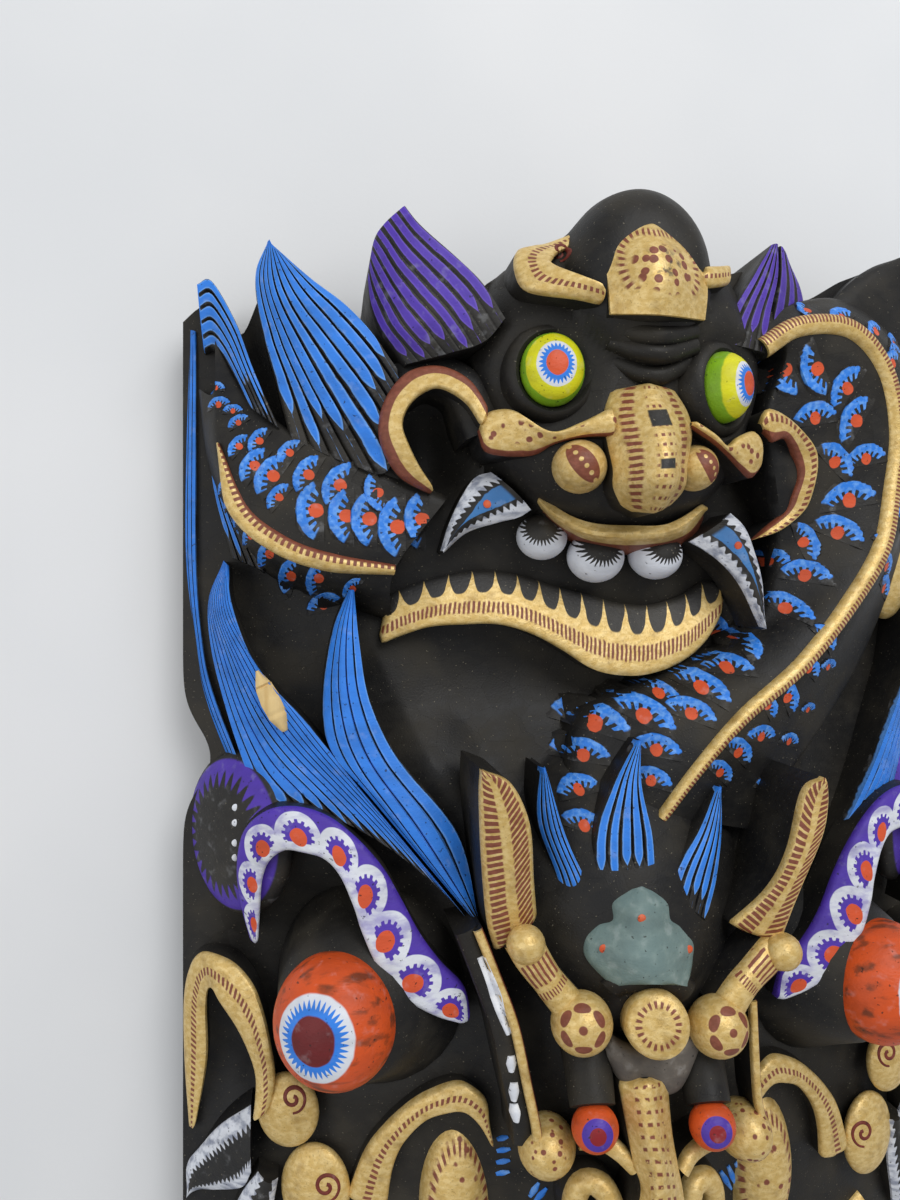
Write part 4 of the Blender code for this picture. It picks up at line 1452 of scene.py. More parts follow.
RIGHT_SCALES = ((69, 208, -145, 9.5), (83, 209, -150, 9.5), (98, 204, 145, 9), (85, 192, 100, 8.5),
            (103, 191, 150, 9.5), (97, 174, 50, 8.5), (110, 176, 100, 8), (103, 159, 100, 10),
            (99, 145, 65, 9), (86, 140, 25, 7.5), (72, 133, 80, 7), (81, 235, 175, 5),
            (96, 233, 120, 7), (115, 230, 120, 6.5), (128, 223, 105, 5.5), (124, 155, 105, 4.5),
            (117, 140, 60, 4.5), (85, 127, 80, 8.5), (77, 113, 55, 8), (58, 100, 15, 8),
            (48, 89, 85, 8), (37, 81, 55, 9), (21, 78, 50, 7), (13, 70, 60, 10),
            (30, 71, 70, 8), (-6, 67, 75, 11), (-12, 54, 85, 8.5), (15, 57, 80, 8),
            (-16, 41, 105, 7), (12, 45, 75, 7), (-16, 29, 75, 7), (88, 100, 40, 6),
            (80, 88, 55, 6), (91, 88, 90, 4.5), (71, 76, 35, 7), (61, 73, 35, 5.5),
            (84, 70, 90, 4), (59, 61, 85, 6.5), (76, 57, 75, 5), (49, 55, 50, 7),
            (41, 47, 50, 6), (66, 39, 75, 5.5))


class Side(Enum):
    """The sides of the face, as seen from the front."""

    LEFT = "left"
    RIGHT = "right"


@dataclass
class ScaledBody(SubAssembly):
    """A scaled body with a gold rib along it.

    Args:
        side: which side of the face it lies on.
        rails: outer, rib and inner rails of the body.
        rib: middle line of its gold rib.
        rib_taper: shares of the rib's width from its start to its end.
        placed: single scales, each as its middle, the direction it faces in degrees and its
            size in mm.
        lanes: for each lane of scales, its share across, its start and end shares along, its
            count of scales and their size in mm.
        swell: how much wider the relief of a scale is than its size.
        chance: draws the small shifts of the scales in a lane.
    """

    side: Side
    rails: Rails
    rib: Points
    rib_taper: Point
    placed: Points
    lanes: Points = ()
    swell: float = 1.2
    chance: np.random.Generator = field(default_factory=lambda: np.random.default_rng(7))

    def build(self) -> None:
        """Build the body, then lay its scales and its rib on it."""
        body = self.piece(self.side.value + "_scaled_body", Slot.BLACK)
        points, spots = fan(self.rails, 90, 44, 0)
        body.sheet(soften(points, 5), spots, "black", sink=30)
        body.close(self.relief)
        scales = self.piece(self.side.value + "_scales", Slot.BLUE)
        for across, start, end, count, size in self.lanes:
            for share in np.linspace(start, end, count):
                row = share * (len(points) - 1)
                self._scale(scales, *self._stand(points, row, across), size)
        for x, y, facing, size in self.placed:
            self._scale(scales, (x, y), math.radians(facing - 90), size)
        scales.close(self.relief)
        ribs = self.piece(self.side.value + "_gold_rib", Slot.GOLD)
        ribs.sheet(*band(self.rib, 4.2, 3.4, self.rib_taper, 1.2), self.side.value + "_rib", sink=12)
        ribs.close(self.relief)

    def _stand(self, points: np.ndarray, row: float, across: float) -> tuple:
        """Where a scale of a lane stands and how it is turned."""
        low = int(np.clip(row, 1, len(points) - 2))
        column = int(np.clip(across + self.chance.normal(0, 0.012), 0.02, 0.98)
                     * (points.shape[1] - 1))
        heading = points[low + 1, column] - points[low - 1, column]
        turn = math.atan2(-heading[1], -heading[0]) - math.pi / 2
        return points[low, column, :2], turn + self.chance.normal(0, 0.12)

    def _scale(self, piece: Piece, spot: Point, turn: float, size: float) -> None:
        """Lay one scale on the body, standing up at its painted arc."""
        size *= self.swell
        cosine, sine = math.cos(turn), math.sin(turn)
        u, v = np.meshgrid(np.linspace(-1.1, 1.1, 15), np.linspace(-0.44, 0.56, 10))
        x = spot[0] + size * (cosine * u - sine * v)
        y = spot[1] + size * (sine * u + cosine * v)
        reach = np.hypot(u, v + 0.62)
        z = self.relief.heights(x, y, 60.0)
        lift = 0.12 + 0.95 * np.clip((reach - 0.5) / 0.6, 0, 1)
        z = z + np.where(reach < 1.17, lift * np.clip((1.1 - np.abs(u)) / 0.3, 0, 1), -1.0)
        piece.sheet(np.stack([x, y, z], axis=-1), np.stack([u, v], axis=-1), "scale", sink=3,
                    lip=0.5)


@dataclass
class Flames(SubAssembly):
    """The pairs of blue flames over the brows."""

    outer = [[(-156, 131, 46), (-163, 115, 38), (-162, 94, 38), (-155, 67, 42), (-147, 44, 48),
              (-142, 31, 54)],
             [(-156, 131, 47), (-161, 115, 44), (-156, 95, 46), (-145, 68, 50), (-133, 49, 56),
              (-124, 33, 63)],
             [(-155, 130, 48), (-157, 113, 50), (-150, 93, 53), (-136, 69, 57),
              (-119, 48, 63), (-100, 24, 71)],
             [(-155, 130, 49), (-154, 113, 54), (-145, 93, 58), (-128, 69, 63),
              (-106, 43, 70), (-77, 8, 78)],
             [(-154, 129, 50), (-152, 113, 56), (-142, 88, 60), (-123, 67, 65),
              (-100, 39, 73), (-58, -12, 82)]]
    inner = [[(-106, 119, 66), (-112, 104, 64), (-116, 80, 64), (-114, 57, 68), (-98, 38, 75),
              (-57, -11, 82)],
             [(-105, 119, 67), (-108, 99, 68), (-108, 76, 70), (-101, 53, 74), (-83, 27, 80),
              (-57, -10, 83)],
             [(-104, 119, 67), (-102, 99, 70), (-98, 76, 73), (-87, 53, 76), (-64, 24, 80),
              (-57, -8, 83)]]
    side = [[(-173, 231, 24), (-174.5, 180, 24), (-174.5, 132, 24), (-171, 98, 24),
             (-166, 72, 26), (-150, 35, 36)],
            [(-169, 229, 30), (-169, 179, 30), (-169, 132, 30), (-167, 102, 30),
             (-162, 77, 34), (-146, 38, 44)]]
    right = [[(154, 131, 50), (147, 112, 56), (141, 84, 60), (128, 56, 64), (112, 30, 69),
              (96, 8, 73)],
             [(156, 131, 48), (163, 100, 36), (166, 76, 30), (159, 46, 32), (142, 22, 50),
              (120, 8, 62), (97, 2, 68)]]

    def build(self) -> None:
        """Build the flames and the bare chip beside the left one."""
        flames = self.piece("blue_flames", Slot.BLUE)
        flames.sheet(*fluted(self.outer, 12, 100, 1.5, 1.8, 0.4), "blue_flame", sink=30)
        flames.sheet(*fluted(self.inner, 5, 90, 2.0, 2.2, 0.38), "blue_flame", sink=30)
        flames.sheet(*fluted(self.side, 3, 90, 1.0, 1.4, 0.4), "blue_flame", sink=20)
        flames.sheet(*fluted(self.right, 9, 80, 4.0, 1.8, 0.4), "blue_flame", sink=30)
        flames.sheet(*fluted([mirrored(rail) for rail in self.side], 3, 60, 1.0, 1.4, 0.4),
                     "blue_flame", sink=20)
        flames.close(self.relief)
        chip = self.piece("bare_chip", Slot.BARE)
        points, spots = band([(-142, 87, 0), (-139, 80, 0), (-135, 72, 0), (-131, 63, 0)], 4.2, 0,
                             (0.15, 0.8, 1, 0.9, 0.3), 0.8, 11)
        under = self.relief.heights(points[:, :, 0], points[:, :, 1])
        points[:, :, 2] = under.max(axis=1, keepdims=True) + 1.1 - 1.5 * spots[:, :, 0] ** 2
        chip.sheet(points, spots, "wood", 2.5, 0.5)
        chip.close()


@dataclass
class BeastFace(SubAssembly):
    """The horned beast's face over the brow."""

    def build(self) -> None:
        """Build every part of the face."""
        self._dark()
        self._gold()
        self._mouth()
        eyes = self.piece("beast_eyes", Slot.YELLOW)
        eyes.ball((-30.5, 202.3, 93), 12.4, 10, "beast_eye", (-0.06, 0.05, 1),
                  stretch=(1, 1.13))
        eyes.ball((38, 198, 93), 12, 12, "beast_eye", (0.6, 0, 0.8), stretch=(1, 1.16))
        eyes.close(self.relief)

    def _dark(self) -> None:
        """Wrinkles of the forehead and the ledges behind the cheek curls."""
        dark = self.piece("beast_ledges", Slot.BLACK)
        for spine in ([(-10, 218, 103), (6, 213, 110), (24, 218, 103)],
                      [(-10, 213, 101), (7, 207, 108), (25, 213, 101)],
                      [(-8, 207, 97), (8, 200, 103), (24, 208, 97)]):
            dark.sheet(*band(spine, 3.6, 4), "black")
        dark.sheet(*band([(-54, 180, 84), (-62, 199, 80), (-77, 204, 76), (-92, 196, 70),
                          (-97, 182, 68), (-90, 166, 67), (-76, 157, 66)], 8, 5), "black",
                   sink=26)
        for lean, centre in (((0, 0, 1), (-30, 202, 88)), ((0.5, 0, 0.86), (37, 198, 88))):
            dark.turned([(0, -6), (19, -6), (18.6, 2), (16.8, 5.5), (15, 6), (13.4, 4.6),
                         (12.4, 1), (0, 1)], centre, "black", lean, 44, (1, 1.04))
        dark.close(self.relief)

    def _gold(self) -> None:
        """Crown plate, bands, nose, cheeks and lip."""
        gold = self.piece("beast_gold", Slot.GOLD)
        points, spots = fan([[(4, 257, 104), (-3, 256.5, 104), (-9, 253, 104), (-13, 247, 105),
                              (-14, 240, 106), (-13.5, 230, 108), (-13, 219.5, 109)],
                             [(4.5, 257.5, 105), (3.5, 253, 109), (3, 247, 113), (2.5, 241, 116.5),
                              (2.5, 235, 118.5), (2.5, 228, 119.5), (3, 217.5, 117)],
                             [(5, 257, 104), (11, 256, 103), (18, 252, 103), (23, 246, 104),
                              (25.5, 239, 105), (26, 230, 106), (25, 220, 106)]], 44, 40)
        gold.sheet(points, spots * 2 - 1, "plate", sink=20)
        gold.sheet(*strip(
            [(-15, 223, 108), (-25, 225, 107), (-42, 229, 101), (-46, 238, 97), (-44, 247, 92),
             (-38, 250, 90), (-32, 252, 88), (-19, 258, 86)],
            [(-16, 229, 112), (-24, 233, 109), (-31, 237, 105), (-33, 240, 101),
             (-32, 242, 98), (-29, 246, 94), (-25, 249, 91), (-19, 253, 88)], crown=2),
            "gold_dash", sink=20)
        gold.sheet(*strip([(24, 232, 106), (32, 234, 103), (39, 237, 98)],
                          [(24, 240, 106), (32, 242, 102), (40, 245, 96)], crown=2),
                   "gold_dash", sink=20)
        gold.sheet(*strip(
            [(-8, 196, 96), (-12, 184, 99), (-11.5, 174, 102), (-10, 164, 104),
             (-9.5, 157, 103), (-4, 149.5, 98)],
            [(4, 196, 103), (4, 184, 110), (4, 174, 116), (4, 164, 119.5), (4, 156, 118.5),
             (4.5, 146.5, 107)],
            [(16, 197, 96), (21, 187, 99), (22, 178, 101), (19.5, 167, 103), (18.5, 157, 102),
             (13, 149.5, 98)],
            crown=1.5, columns=30, step=1.2), "nose", sink=30)
        gold.ball((-20.5, 165.5, 95), 10.5, 12, "nostril", (-0.15, 0, 1), stretch=(1, 0.97))
        gold.ball((25.5, 166, 95), 8.5, 10, "nostril", (0.35, 0, 1), stretch=(1, 1.05))
        gold.ball((-27, 248, 84), 5.4, 6, "gold", (-0.3, 0.3, 1), steps=24)
        gold.sheet(*strip(
            [(-57, 185, 88), (-52, 187, 90), (-45, 186, 94), (-33, 178, 98), (-22, 181, 101),
             (-10, 187, 104)],
            [(-58, 178, 87), (-54, 171, 88), (-38, 170, 91), (-30, 174, 95), (-20, 176, 100),
             (-9, 176, 104)], crown=3), "lobe", sink=22)
        gold.sheet(*strip([(21, 183, 103), (30, 178, 102), (36, 174, 100), (42, 178, 98),
                           (50, 181, 95), (55, 178, 92)],
                          [(21, 180, 103), (30, 175, 102), (37, 171, 99), (44, 166, 96),
                           (50, 163, 93), (56, 168, 90)], crown=3), "lobe", sink=22)
        gold.sheet(*strip(
            [(-74, 157, 70), (-86, 163, 72), (-93, 173, 73), (-95, 183, 74), (-92, 194, 76),
             (-84, 203, 79), (-72, 205, 82), (-61, 199, 86), (-54, 187, 90)],
            [(-73, 159, 73), (-79, 167, 76), (-83, 174, 78), (-86, 182, 79), (-84, 189, 80),
             (-79, 194, 82), (-72, 196, 84), (-63, 190, 88), (-57, 180, 91)], crown=2,
            side=-1), "curl_left", sink=26)
        gold.sheet(*strip(
            [(54, 187, 92), (59, 191, 91), (70, 188, 87), (84, 179, 81), (87, 171, 79),
             (86, 160, 77), (83, 152, 75), (73, 144, 74), (61, 140, 73)],
            [(58, 180, 91), (61, 178, 90), (68, 180, 87), (75, 175, 80), (79, 167, 77),
             (77, 158, 75), (75, 152, 73), (68, 146, 72), (61, 140, 72)], crown=2),
            "curl_right", sink=26)
        gold.sheet(*strip(
            [(-27, 151, 60), (-18, 142, 61), (-4, 136, 62), (10, 134, 63), (26, 136, 62),
             (39, 140, 61), (46, 151, 60)],
            [(-33, 155, 76), (-25, 147, 79), (-15, 141, 82), (-3, 139, 84), (7, 139, 84),
             (18, 140, 83), (28, 144, 81), (38, 152, 77)],
            [(-32, 158, 75), (-28, 154, 78), (-19, 148, 81), (-9, 145, 83), (5, 144.5, 84),
             (18, 145, 83), (28, 149, 81), (38, 155, 77)], crown=1, side=-1, step=1.6),
            "lip_gold", sink=26)
        gold.close(self.relief)

    def _mouth(self) -> None:
        """Teeth, tusks and jaw."""
        teeth = self.piece("beast_teeth", Slot.WHITE)
        for centre, radius, lean in (((-27, 141, 64), 10.5, -0.3), ((-4, 133, 64), 12, 0),
                                     ((22, 134, 64), 11.5, 0.15)):
            teeth.ball(centre, radius, 11, "tooth", (lean, -0.3, 1), stretch=(1, 0.9))
        points, spots = fan([[(-69, 135, 64), (-66, 146, 68), (-61, 157, 70), (-56, 164, 71),
                              (-50, 166, 72)],
                             [(-68, 134, 64), (-59, 142, 68), (-47, 146, 71), (-39, 148, 73),
                              (-34, 151, 74)]], 36, 26, 4)
        teeth.sheet(points, spots * (2, 1) - (1, 0), "tusk", sink=20)
        points, spots = fan([[(62, 103, 80), (62, 121, 80), (58, 136, 80), (55, 145, 78),
                              (51, 151, 74)],
                             [(61, 104, 80), (53, 120, 80), (46, 129, 79), (39, 135, 77),
                              (33, 139, 74)]], 44, 26, 4)
        teeth.sheet(points, spots * (2, 1) - (1, 0), "tusk", sink=20)
        teeth.close(self.relief)
        jaw = self.piece("beast_jaw", Slot.GOLD)
        jaw.sheet(*strip(
            [(-94, 96, 54), (-85, 100, 56), (-73, 104, 60), (-59, 105, 62), (-45, 105, 64),
             (-31, 101, 65), (-18, 94, 66), (-7, 87, 67), (4, 84, 67), (18, 84, 66),
             (34, 89, 64), (46, 98, 62), (54, 110, 60)],
            [(-90, 114, 50), (-87, 118, 52), (-71, 124, 54), (-56, 127, 55), (-43, 127, 56),
             (-30, 124, 57), (-17, 120, 58), (-4, 117, 58), (7, 114, 58), (22, 113, 57),
             (37, 117, 56), (48, 123, 55), (55, 121, 57)], crown=2.5, columns=25, side=1),
            "jaw", sink=14)
        jaw.close(self.relief)
        dots = self.piece("tusk_dots", Slot.ORANGE)
        for spot in ((-52, 153), (50, 137)):
            dots.dab(spot, 1.7, "orange", self.relief)
        dots.close()


@dataclass
class BrowsAndEyes(SubAssembly):
    """Ear discs, brow bands and big stalked eyes of the large face."""

    outer = [(-145, -24, 50), (-149, -6, 54), (-150, 10, 58), (-147, 24, 62), (-138, 33, 68),
             (-127, 35, 71), (-115, 32, 75), (-104, 24, 78), (-94, 13, 81), (-87, 1, 82),
             (-80, -12, 84), (-72, -23, 85), (-63, -33, 85), (-60, -46, 83)]
    inner = [(-142, -24, 52), (-141, -8, 57), (-140, 4, 61), (-137, 13, 66), (-131, 18, 70),
             (-124, 18, 74), (-116, 16, 77), (-110, 10, 80), (-105, -1, 83), (-102, -10, 85),
             (-96, -23, 87), (-87, -34, 88), (-74, -43, 86), (-63, -48, 83)]
    scallops = 9

    def build(self) -> None:
        """Build both sides."""
        discs = self.piece("ear_discs", Slot.PURPLE)
        brows = self.piece("brow_bands", Slot.PURPLE)
        stalks = self.piece("eye_stalks", Slot.BLACK)
        eyes = self.piece("big_eyes", Slot.ORANGE)
        for side in (-1, 1):
            discs.ball((side * 150, 18, 38), 34, 11, "disc", lean=(side * 0.72, 0, 0.7),
                       steps=48, stretch=(0.9, 1))
            rails = [self.inner, self.outer]
            if side > 0:
                rails = [mirrored(rail, HEAD_AXIS) for rail in rails]
            points, spots = strip(*rails, crown=2.0, step=1.2, columns=19)
            spots[:, :, 1] *= self.scallops / spots[-1, 0, 1]
            brows.sheet(points, spots, "brow", sink=14)
            centre = Vector((side * 112, -42.5, 84))
            lean = Vector((side * 0.42, 0.05, 0.9))
            foot = Vector((side * 88, -42, 34))
            axis = centre - foot
            stalks.turned([(44, 0), (43, 12), (39, 26), (32, 40), (26.5, axis.length - 4),
                           (20, axis.length)], foot, "black", axis, 28)
            eyes.ball(centre, 23.5, 21, "big_eye", lean, 60, (1, 1.06))
        for piece in (discs, brows, stalks, eyes):
            piece.close(self.relief)
        dots = self.piece("ear_dots", Slot.WHITE)
        for y in (31, 25, 17, 11):
            for side in (-1, 1):
                dots.dab((side * 151, y), 1.5, "white", self.relief)
        dots.close()


@dataclass
class DragonHead(SubAssembly):
    """The dragon's head that comes down the nose of the large face."""

    def build(self) -> None:
        """Build every part of the head."""
        hair = self.piece("dragon_hair", Slot.BLUE)
        for rails in ([[(-33, 50, 84), (-35, 30, 87), (-28, 8, 91), (-25, -14, 93)],
                       [(-31, 50, 85), (-25, 26, 92), (-18, 10, 95), (-12, 0, 97)]],
                      [[(5, 60, 87), (-6, 44, 92), (-14, 26, 95), (-15, 8, 97)],
                       [(7, 60, 87), (5, 44, 94), (8, 26, 98), (9, 10, 99)]],
                      [[(38, 41, 88), (28, 26, 94), (17, 12, 98), (14, 4, 99)],
                       [(40, 41, 88), (38, 24, 93), (34, 6, 97), (29, -8, 99)]]):
            hair.sheet(*fluted(rails, 5, crown=2, depth=1.5), "hair", sink=20)
        hair.close(self.relief)
        self._gold()
        self._grey()
        self._eyes()
        self._strokes()

    def _gold(self) -> None:
        """Leaf ears, horns, drum, snout, knobs and frame lines."""
        gold = self.piece("dragon_gold", Slot.GOLD)
        for rails in ([[(-62, 55, 112), (-62, 44, 110), (-60, 21, 104), (-57, -3, 99),
                        (-53, -17, 95)],
                       [(-61, 55, 113), (-51, 50, 113), (-44, 35, 112), (-41, 13, 106),
                        (-38, -4, 99)]],
                      [[(68, 49, 114), (62, 43, 110), (57, 20, 108), (51, 4, 103),
                        (38, -11, 97)],
                       [(69, 48, 114), (71, 38, 112), (69, 27, 112), (63, 7, 108),
                        (59, -18, 99)]]):
            gold.sheet(*strip(*rails, crown=2.5), "leaf", sink=40)
        for spine, ball in (([(-44, -10, 106), (-41, -16, 109), (-34, -26, 109),
                              (-25, -37, 110)], (-23, -40, 106)),
                            ([(58, -20, 103), (52, -23, 106), (41, -31, 109),
                              (33, -41, 110)], (30, -45, 106))):
            gold.ball(spine[0], 7.2, 7, "gold", steps=20)
            gold.sheet(*band(spine, 6.5, 5, (1.1, 0.9, 1), columns=17), "horn", sink=16)
            gold.ball(ball, 11.4, 11, "lens", (0.1 if ball[0] > 0 else -0.25, 0.2, 1))
        gold.turned([(11.4, 0), (11.8, 26), (11.4, 30), (10, 31.4), (5, 31.8), (0, 31.6)],
                    (8.0, -45.5, 88.7), "drum", (-0.2, 0.26, 0.94))
        gold.sheet(*strip([(-9, -62, 106), (-6, -80, 108), (-4, -92, 109), (-2, -106, 110),
                           (-16, -140, 106), (-26, -168, 96), (-16, -186, 86)],
                          [(0, -60, 112), (0, -76, 116), (2, -87, 118), (2, -100, 119),
                           (2, -135, 119), (2, -165, 116), (2, -186, 92)],
                          [(10, -62, 106), (11, -81, 108), (13, -94, 109), (15, -106, 110),
                           (21, -140, 106), (30, -168, 96), (20, -186, 86)],
                          crown=0.5, columns=25), "snout", sink=36)
        gold.ball((-33, -91, 94), 11, 13, "knob_gold", (-0.2, 0, 1))
        gold.ball((46, -92, 94), 10, 13, "knob_gold", (0.2, 0, 1), stretch=(1, 1.1))
        for web in ([(-22, -88, 100), (-14, -87, 104), (-8, -90, 107), (-3, -95, 109)],
                    [(37, -92, 100), (27, -92, 104), (20, -94, 107), (16, -98, 109)]):
            gold.sheet(*band(web, 3.4, 3, (1.2, 1, 0.8)), "gold", sink=20)
        for roll in ([(-7, -118, 105), (-12, -107, 103), (-19, -106, 100), (-22, -115, 98),
                      (-20, -128, 97)],
                     [(19, -120, 105), (24, -109, 103), (31, -110, 100), (34, -119, 98),
                      (31, -132, 97)]):
            gold.sheet(*band(roll, 4.6, 5), "gold", sink=20)
        gold.sheet(*band([(-60, -7, 99), (-53, -25, 101), (-47, -42, 103), (-42, -65, 103),
                          (-39, -79, 103), (-38, -87, 102)], 1.8, 1.6, columns=7), "frame",
                   sink=14)
        gold.sheet(*band([(48, -40, 100), (48, -61, 102), (49, -76, 102), (51, -84, 101)],
                         1.6, 1.4, columns=7), "frame", sink=14)
        gold.close(self.relief)

    def _grey(self) -> None:
        """The three-lobed crest, the black band under it and the grey lip."""
        crest = self.piece("dragon_crest", Slot.GREY)
        crest.sheet(*strip([(-3, 7, 99), (-5, 6, 100), (-10, 2, 102), (-11, -4, 102), (-16, -6, 101),
                             (-20, -12, 101), (-20, -18, 102), (-15, -24, 104), (-10, -28, 106)],
                           [(1, 8, 101), (-0, 5, 105), (-1, 2, 108), (-1, -2, 110), (-1, -6, 111),
                             (-1, -11, 112), (-1, -15, 113), (-0, -19, 113), (1, -23, 112)],
                           [(7, 6, 99), (9, 5, 100), (12, 1, 102), (14, -5, 102), (19, -8, 101),
                             (23, -15, 101), (22, -21, 102), (20, -26, 104), (18, -30, 106)],
                           crown=2, columns=29, step=0.9, power=3.2, ends=0.6), "crest", sink=20)
        crest.sheet(*band([(-11, -30, 106), (-7, -26, 109), (2, -25, 110), (12, -27, 109),
                           (19, -33, 106)], 5, 4), "black", sink=20)
        crest.sheet(*strip([(-13, -54, 100), (-6, -66, 102), (6, -70, 103), (16, -69, 102),
                            (24, -55, 100)],
                           [(-12, -46, 102), (-5, -50, 104), (4, -52, 104), (14, -50, 104),
                            (23, -46, 102)], crown=5), "lip", sink=20)
        crest.close(self.relief)
        dots = self.piece("crest_dots", Slot.ORANGE)
        for spot in ((-2, -1), (-15, -13), (19, -16)):
            dots.dab(spot, 1.6, "orange", self.relief)
        dots.close()

    def _eyes(self) -> None:
        """Black stalks and ringed eyes."""
        stalks = self.piece("dragon_stalks", Slot.BLACK)
        eyes = self.piece("dragon_eyes", Slot.ORANGE)
        for foot, head in (((-17, -44, 86), (-18.9, -77.1, 109)), ((28, -48, 86), (26.4, -80.3, 109))):
            foot, head = Vector(foot), Vector(head)
            axis = head - foot
            stalks.turned([(0, -8), (11, -8), (10.5, 6), (9.2, 18), (8.4, axis.length - 7),
                           (0, axis.length - 6)], foot, "black", axis, 28)
            eyes.ball(head, 8.6, 8, "dragon_eye", (-0.16, 0.12, 0.96), 40)
        stalks.sheet(*band([(-64, -8, 96), (-57, -26, 98), (-51, -43, 100), (-46, -66, 100),
                            (-43, -79, 100), (-42, -88, 98)], 4.4, 3), "black", sink=34)
        stalks.close(self.relief)
        eyes.close(self.relief)

    def _strokes(self) -> None:
        """White teeth down the side of the head and short blue strokes under them."""
        white = self.piece("white_strokes", Slot.WHITE)
        blue = self.piece("blue_strokes", Slot.BLUE)
        for path in ([(-59, -17), (-55, -27), (-52, -37), (-49, -45)],
                     [(-48, -53), (-48, -59)], [(-47, -63), (-47, -70)],
                     [(-47, -71), (-46, -78)]):
            white.drape(path, 2, "white", self.relief, (0.7, 1, 0.5), 0.7)
        for path in ([(-48, -99), (-44, -97)], [(-48, -104), (-43, -102)], [(-48, -109), (-43, -107)],
                     [(-48, -114), (-43, -112)],
                     [(-35, -122), (-32, -115)], [(-33, -124), (-29, -117)],
                     [(47, -122), (54, -133)], [(51, -121), (57, -133)], [(55, -121), (61, -131)]):
            blue.drape(path, 1.3, "blue_dab", self.relief, (0.6, 1, 0.4), 0.6)
        white.close()
        blue.close()


@dataclass
class LowerFace(SubAssembly):
    """Cheeks, nose wings, mouth and chin of the large face."""

    arch = [[(-172, -110, 28), (-174, -81, 28), (-174, -54, 30), (-171, -39, 34),
             (-166, -32, 38), (-159, -31, 44), (-151, -34, 48), (-144, -41, 52),
             (-140, -50, 55), (-137, -62, 57), (-135, -76, 58), (-137, -88, 58)],
            [(-169, -107, 32), (-164, -79, 34), (-164, -57, 36), (-163, -47, 40),
             (-161, -45, 43), (-158, -49, 46), (-151, -58, 50), (-146, -67, 53),
             (-143, -76, 55), (-143, -85, 56), (-144, -94, 57)]]
    third = [[(-107, -125, 62), (-100, -105, 65), (-92, -93, 68), (-82, -83, 71),
              (-73, -77, 74), (-64, -74, 76), (-58, -76, 78), (-53, -81, 79), (-52, -89, 79),
              (-50, -99, 78)],
             [(-91, -126, 66), (-89, -111, 68), (-85, -100, 70), (-77, -90, 73),
              (-69, -86, 76), (-62, -85, 78), (-56, -90, 79), (-51, -99, 78)]]
    tusk = [[(-173, -138, 26), (-173, -126, 28), (-167, -116, 33), (-158, -103, 41),
             (-145, -91, 50)],
            [(-173, -139, 26), (-167, -134, 32), (-160, -131, 38), (-149, -126, 46),
             (-145, -118, 50)]]
    fang = [[(-166, -196, 24), (-163, -168, 32), (-156, -146, 42), (-149, -128, 48),
             (-142, -116, 54)],
            [(-164, -198, 24), (-152, -176, 36), (-144, -158, 46), (-138, -140, 52),
             (-134, -118, 56)]]

    def build(self) -> None:
        """Build both sides, then the mouth, then the spirals on the cheeks."""
        gold = self.piece("face_gold", Slot.GOLD)
        white = self.piece("face_tusks", Slot.WHITE)
        for side in (-1, 1):
            for rails, about in ((self.arch, 0), (self.third, HEAD_AXIS)):
                gold.sheet(*strip(*(self._flip(rail, side, about) for rail in rails),
                                  crown=2.5, step=1.3), "gold_dash", sink=14)
            for centre, radius, tall in (((-130, -90, 56), 13, 1.15),
                                         ((-119, -122, 57), 14.5, 1.25)):
                gold.ball(self._flip([centre], side, HEAD_AXIS)[0], radius, 5.5, "gold",
                          (side * 0.35, 0, 1), stretch=(1, tall))
            gold.ball(self._flip([(-63, -126, 62)], side, HEAD_AXIS)[0], 15, 14, "wing",
                      stretch=(1, 2.15))
            for rails in (self.tusk, self.fang):
                points, spots = fan([self._flip(rail, side, 0) for rail in rails], 44, 26, 4)
                white.sheet(points, spots * (2, 1) - (1, 0), "white_tusk", sink=20)
        lip = [(-124, -158, 50), (-92, -178, 62), (-48, -190, 74), (2, -197, 80),
               (52, -190, 74), (96, -178, 62), (128, -158, 50)]
        gold.sheet(*band(lip, 8, 5, (0.6, 1, 1, 1, 0.6), side=-1), "lip_gold")
        chin = [(-122, -188, 40), (-84, -222, 52), (-40, -238, 60), (2, -242, 62),
                (44, -238, 60), (88, -222, 52), (126, -188, 40)]
        gold.sheet(*band(chin, 9, 6, (0.6, 1, 1, 1, 0.6)), "gold_dash")
        for number in range(6):
            x = -55 + 23 * number
            white.ball((x, -209 + 0.004 * x * x, 60), 11, 12, "tooth")
        gold.close(self.relief)
        white.close(self.relief)
        spirals = self.piece("red_spirals", Slot.GOLD)
        for centre, radius, side in (((-128, -83), 5.5, 1), ((-115, -118), 6, 1),
                                     ((131, -85), 5.5, -1), ((118, -118), 6, -1),
                                     ((-27, 248), 3.6, 1)):
            spirals.drape(spiral(centre, radius, 1.45, side), 0.75, "red", self.relief, (0.6, 1, 1))
        spirals.close()

    def _flip(self, points: Points, side: int, about: float) -> Points:
        """The points as they are for the left side, or mirrored for the right one."""
        return points if side < 0 else mirrored(points, about)


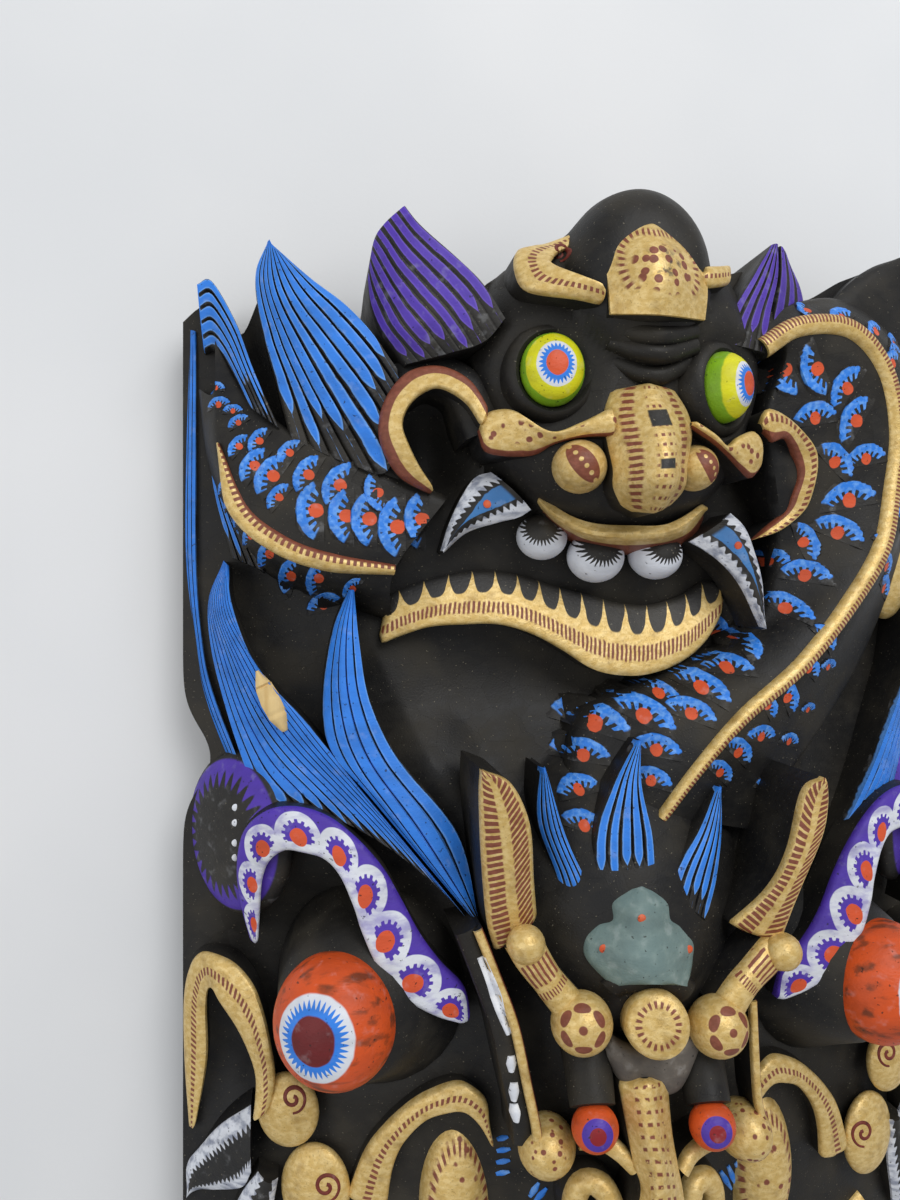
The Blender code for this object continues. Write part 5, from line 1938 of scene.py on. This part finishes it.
@dataclass
class Studio:
    """Floor, lamps and camera.

    Args:
        palette: gives the floor's finish.
        floor_size: half the floor's side, in m.
        key_power: watts of the lamp over the crown.
        fill_power: watts of the lamp at the left.
        sky: strength of the even light from all round.
        sky_colour: its colour, a little cool.
        sensor: width of the camera's film, in mm.
        lens: focal length, in mm.
        eye: place of the camera, in m.
        turn: how far it looks to the right, in degrees.
    """

    palette: Palette
    floor_size: float = 3.0
    key_power: float = 13.5
    fill_power: float = 6.0
    sky: float = 0.47
    sky_colour: Point = (0.97, 0.98, 1.0, 1.0)
    sensor: float = 36.0
    lens: float = 27.06
    eye: Point = (-0.1224, 0.115, 0.425)
    turn: float = 9.0

    def build(self) -> None:
        """Build the studio."""
        bm = bmesh.new()
        bmesh.ops.create_grid(bm, x_segments=2, y_segments=2, size=self.floor_size)
        mesh = bpy.data.meshes.new("floor")
        bm.to_mesh(mesh)
        bm.free()
        mesh.materials.append(self.palette["floor"])
        floor = bpy.data.objects.new("floor", mesh)
        bpy.context.scene.collection.objects.link(floor)
        self._lamp("key_light", (0.35, 1.0, 1.25), 0.9, self.key_power)
        self._lamp("fill_light", (-1.2, 0.1, 1.2), 1.2, self.fill_power)
        self._sky()
        self._camera()

    def _lamp(self, name: str, place: Point, size: float, power: float) -> None:
        """Hang one soft square lamp that looks at the mask."""
        data = bpy.data.lights.new(name, "AREA")
        data.size = size
        data.energy = power
        lamp = bpy.data.objects.new(name, data)
        lamp.location = place
        lamp.rotation_euler = (-Vector(place)).to_track_quat("-Z", "Y").to_euler()
        bpy.context.scene.collection.objects.link(lamp)

    def _sky(self) -> None:
        """Light the studio evenly from all round."""
        bpy.context.scene.view_settings.view_transform = "Standard"
        world = bpy.data.worlds.new("studio")
        world.use_nodes = True
        sky = world.node_tree.nodes["Background"]
        sky.inputs["Color"].default_value = self.sky_colour
        sky.inputs["Strength"].default_value = self.sky
        bpy.context.scene.world = world

    def _camera(self) -> None:
        """Hang the camera over the brow of the mask, looking down."""
        data = bpy.data.cameras.new("camera")
        data.sensor_width = self.sensor
        data.lens = self.lens
        camera = bpy.data.objects.new("camera", data)
        camera.location = self.eye
        camera.rotation_euler = (0, math.radians(-self.turn), 0)
        bpy.context.scene.collection.objects.link(camera)
        bpy.context.scene.camera = camera


def main() -> None:
    """Build the mask and its studio."""
    palette = Palette()
    relief = Relief()
    Block(palette, relief).build()
    Crown(palette, relief).build()
    ScaledBody(palette, relief, Side.LEFT, LEFT_RAILS, LEFT_RIB, (0.15, 1, 1, 0.9, 0.5),
               LEFT_SCALES).build()
    ScaledBody(palette, relief, Side.RIGHT, RIGHT_RAILS, RIGHT_RIB, (1, 1, 0.6), RIGHT_SCALES,
               RIGHT_LANES).build()
    for group in (Flames, BeastFace, BrowsAndEyes, DragonHead, LowerFace):
        group(palette, relief).build()
    Studio(palette).build()


if __name__ == "__main__":
    main()
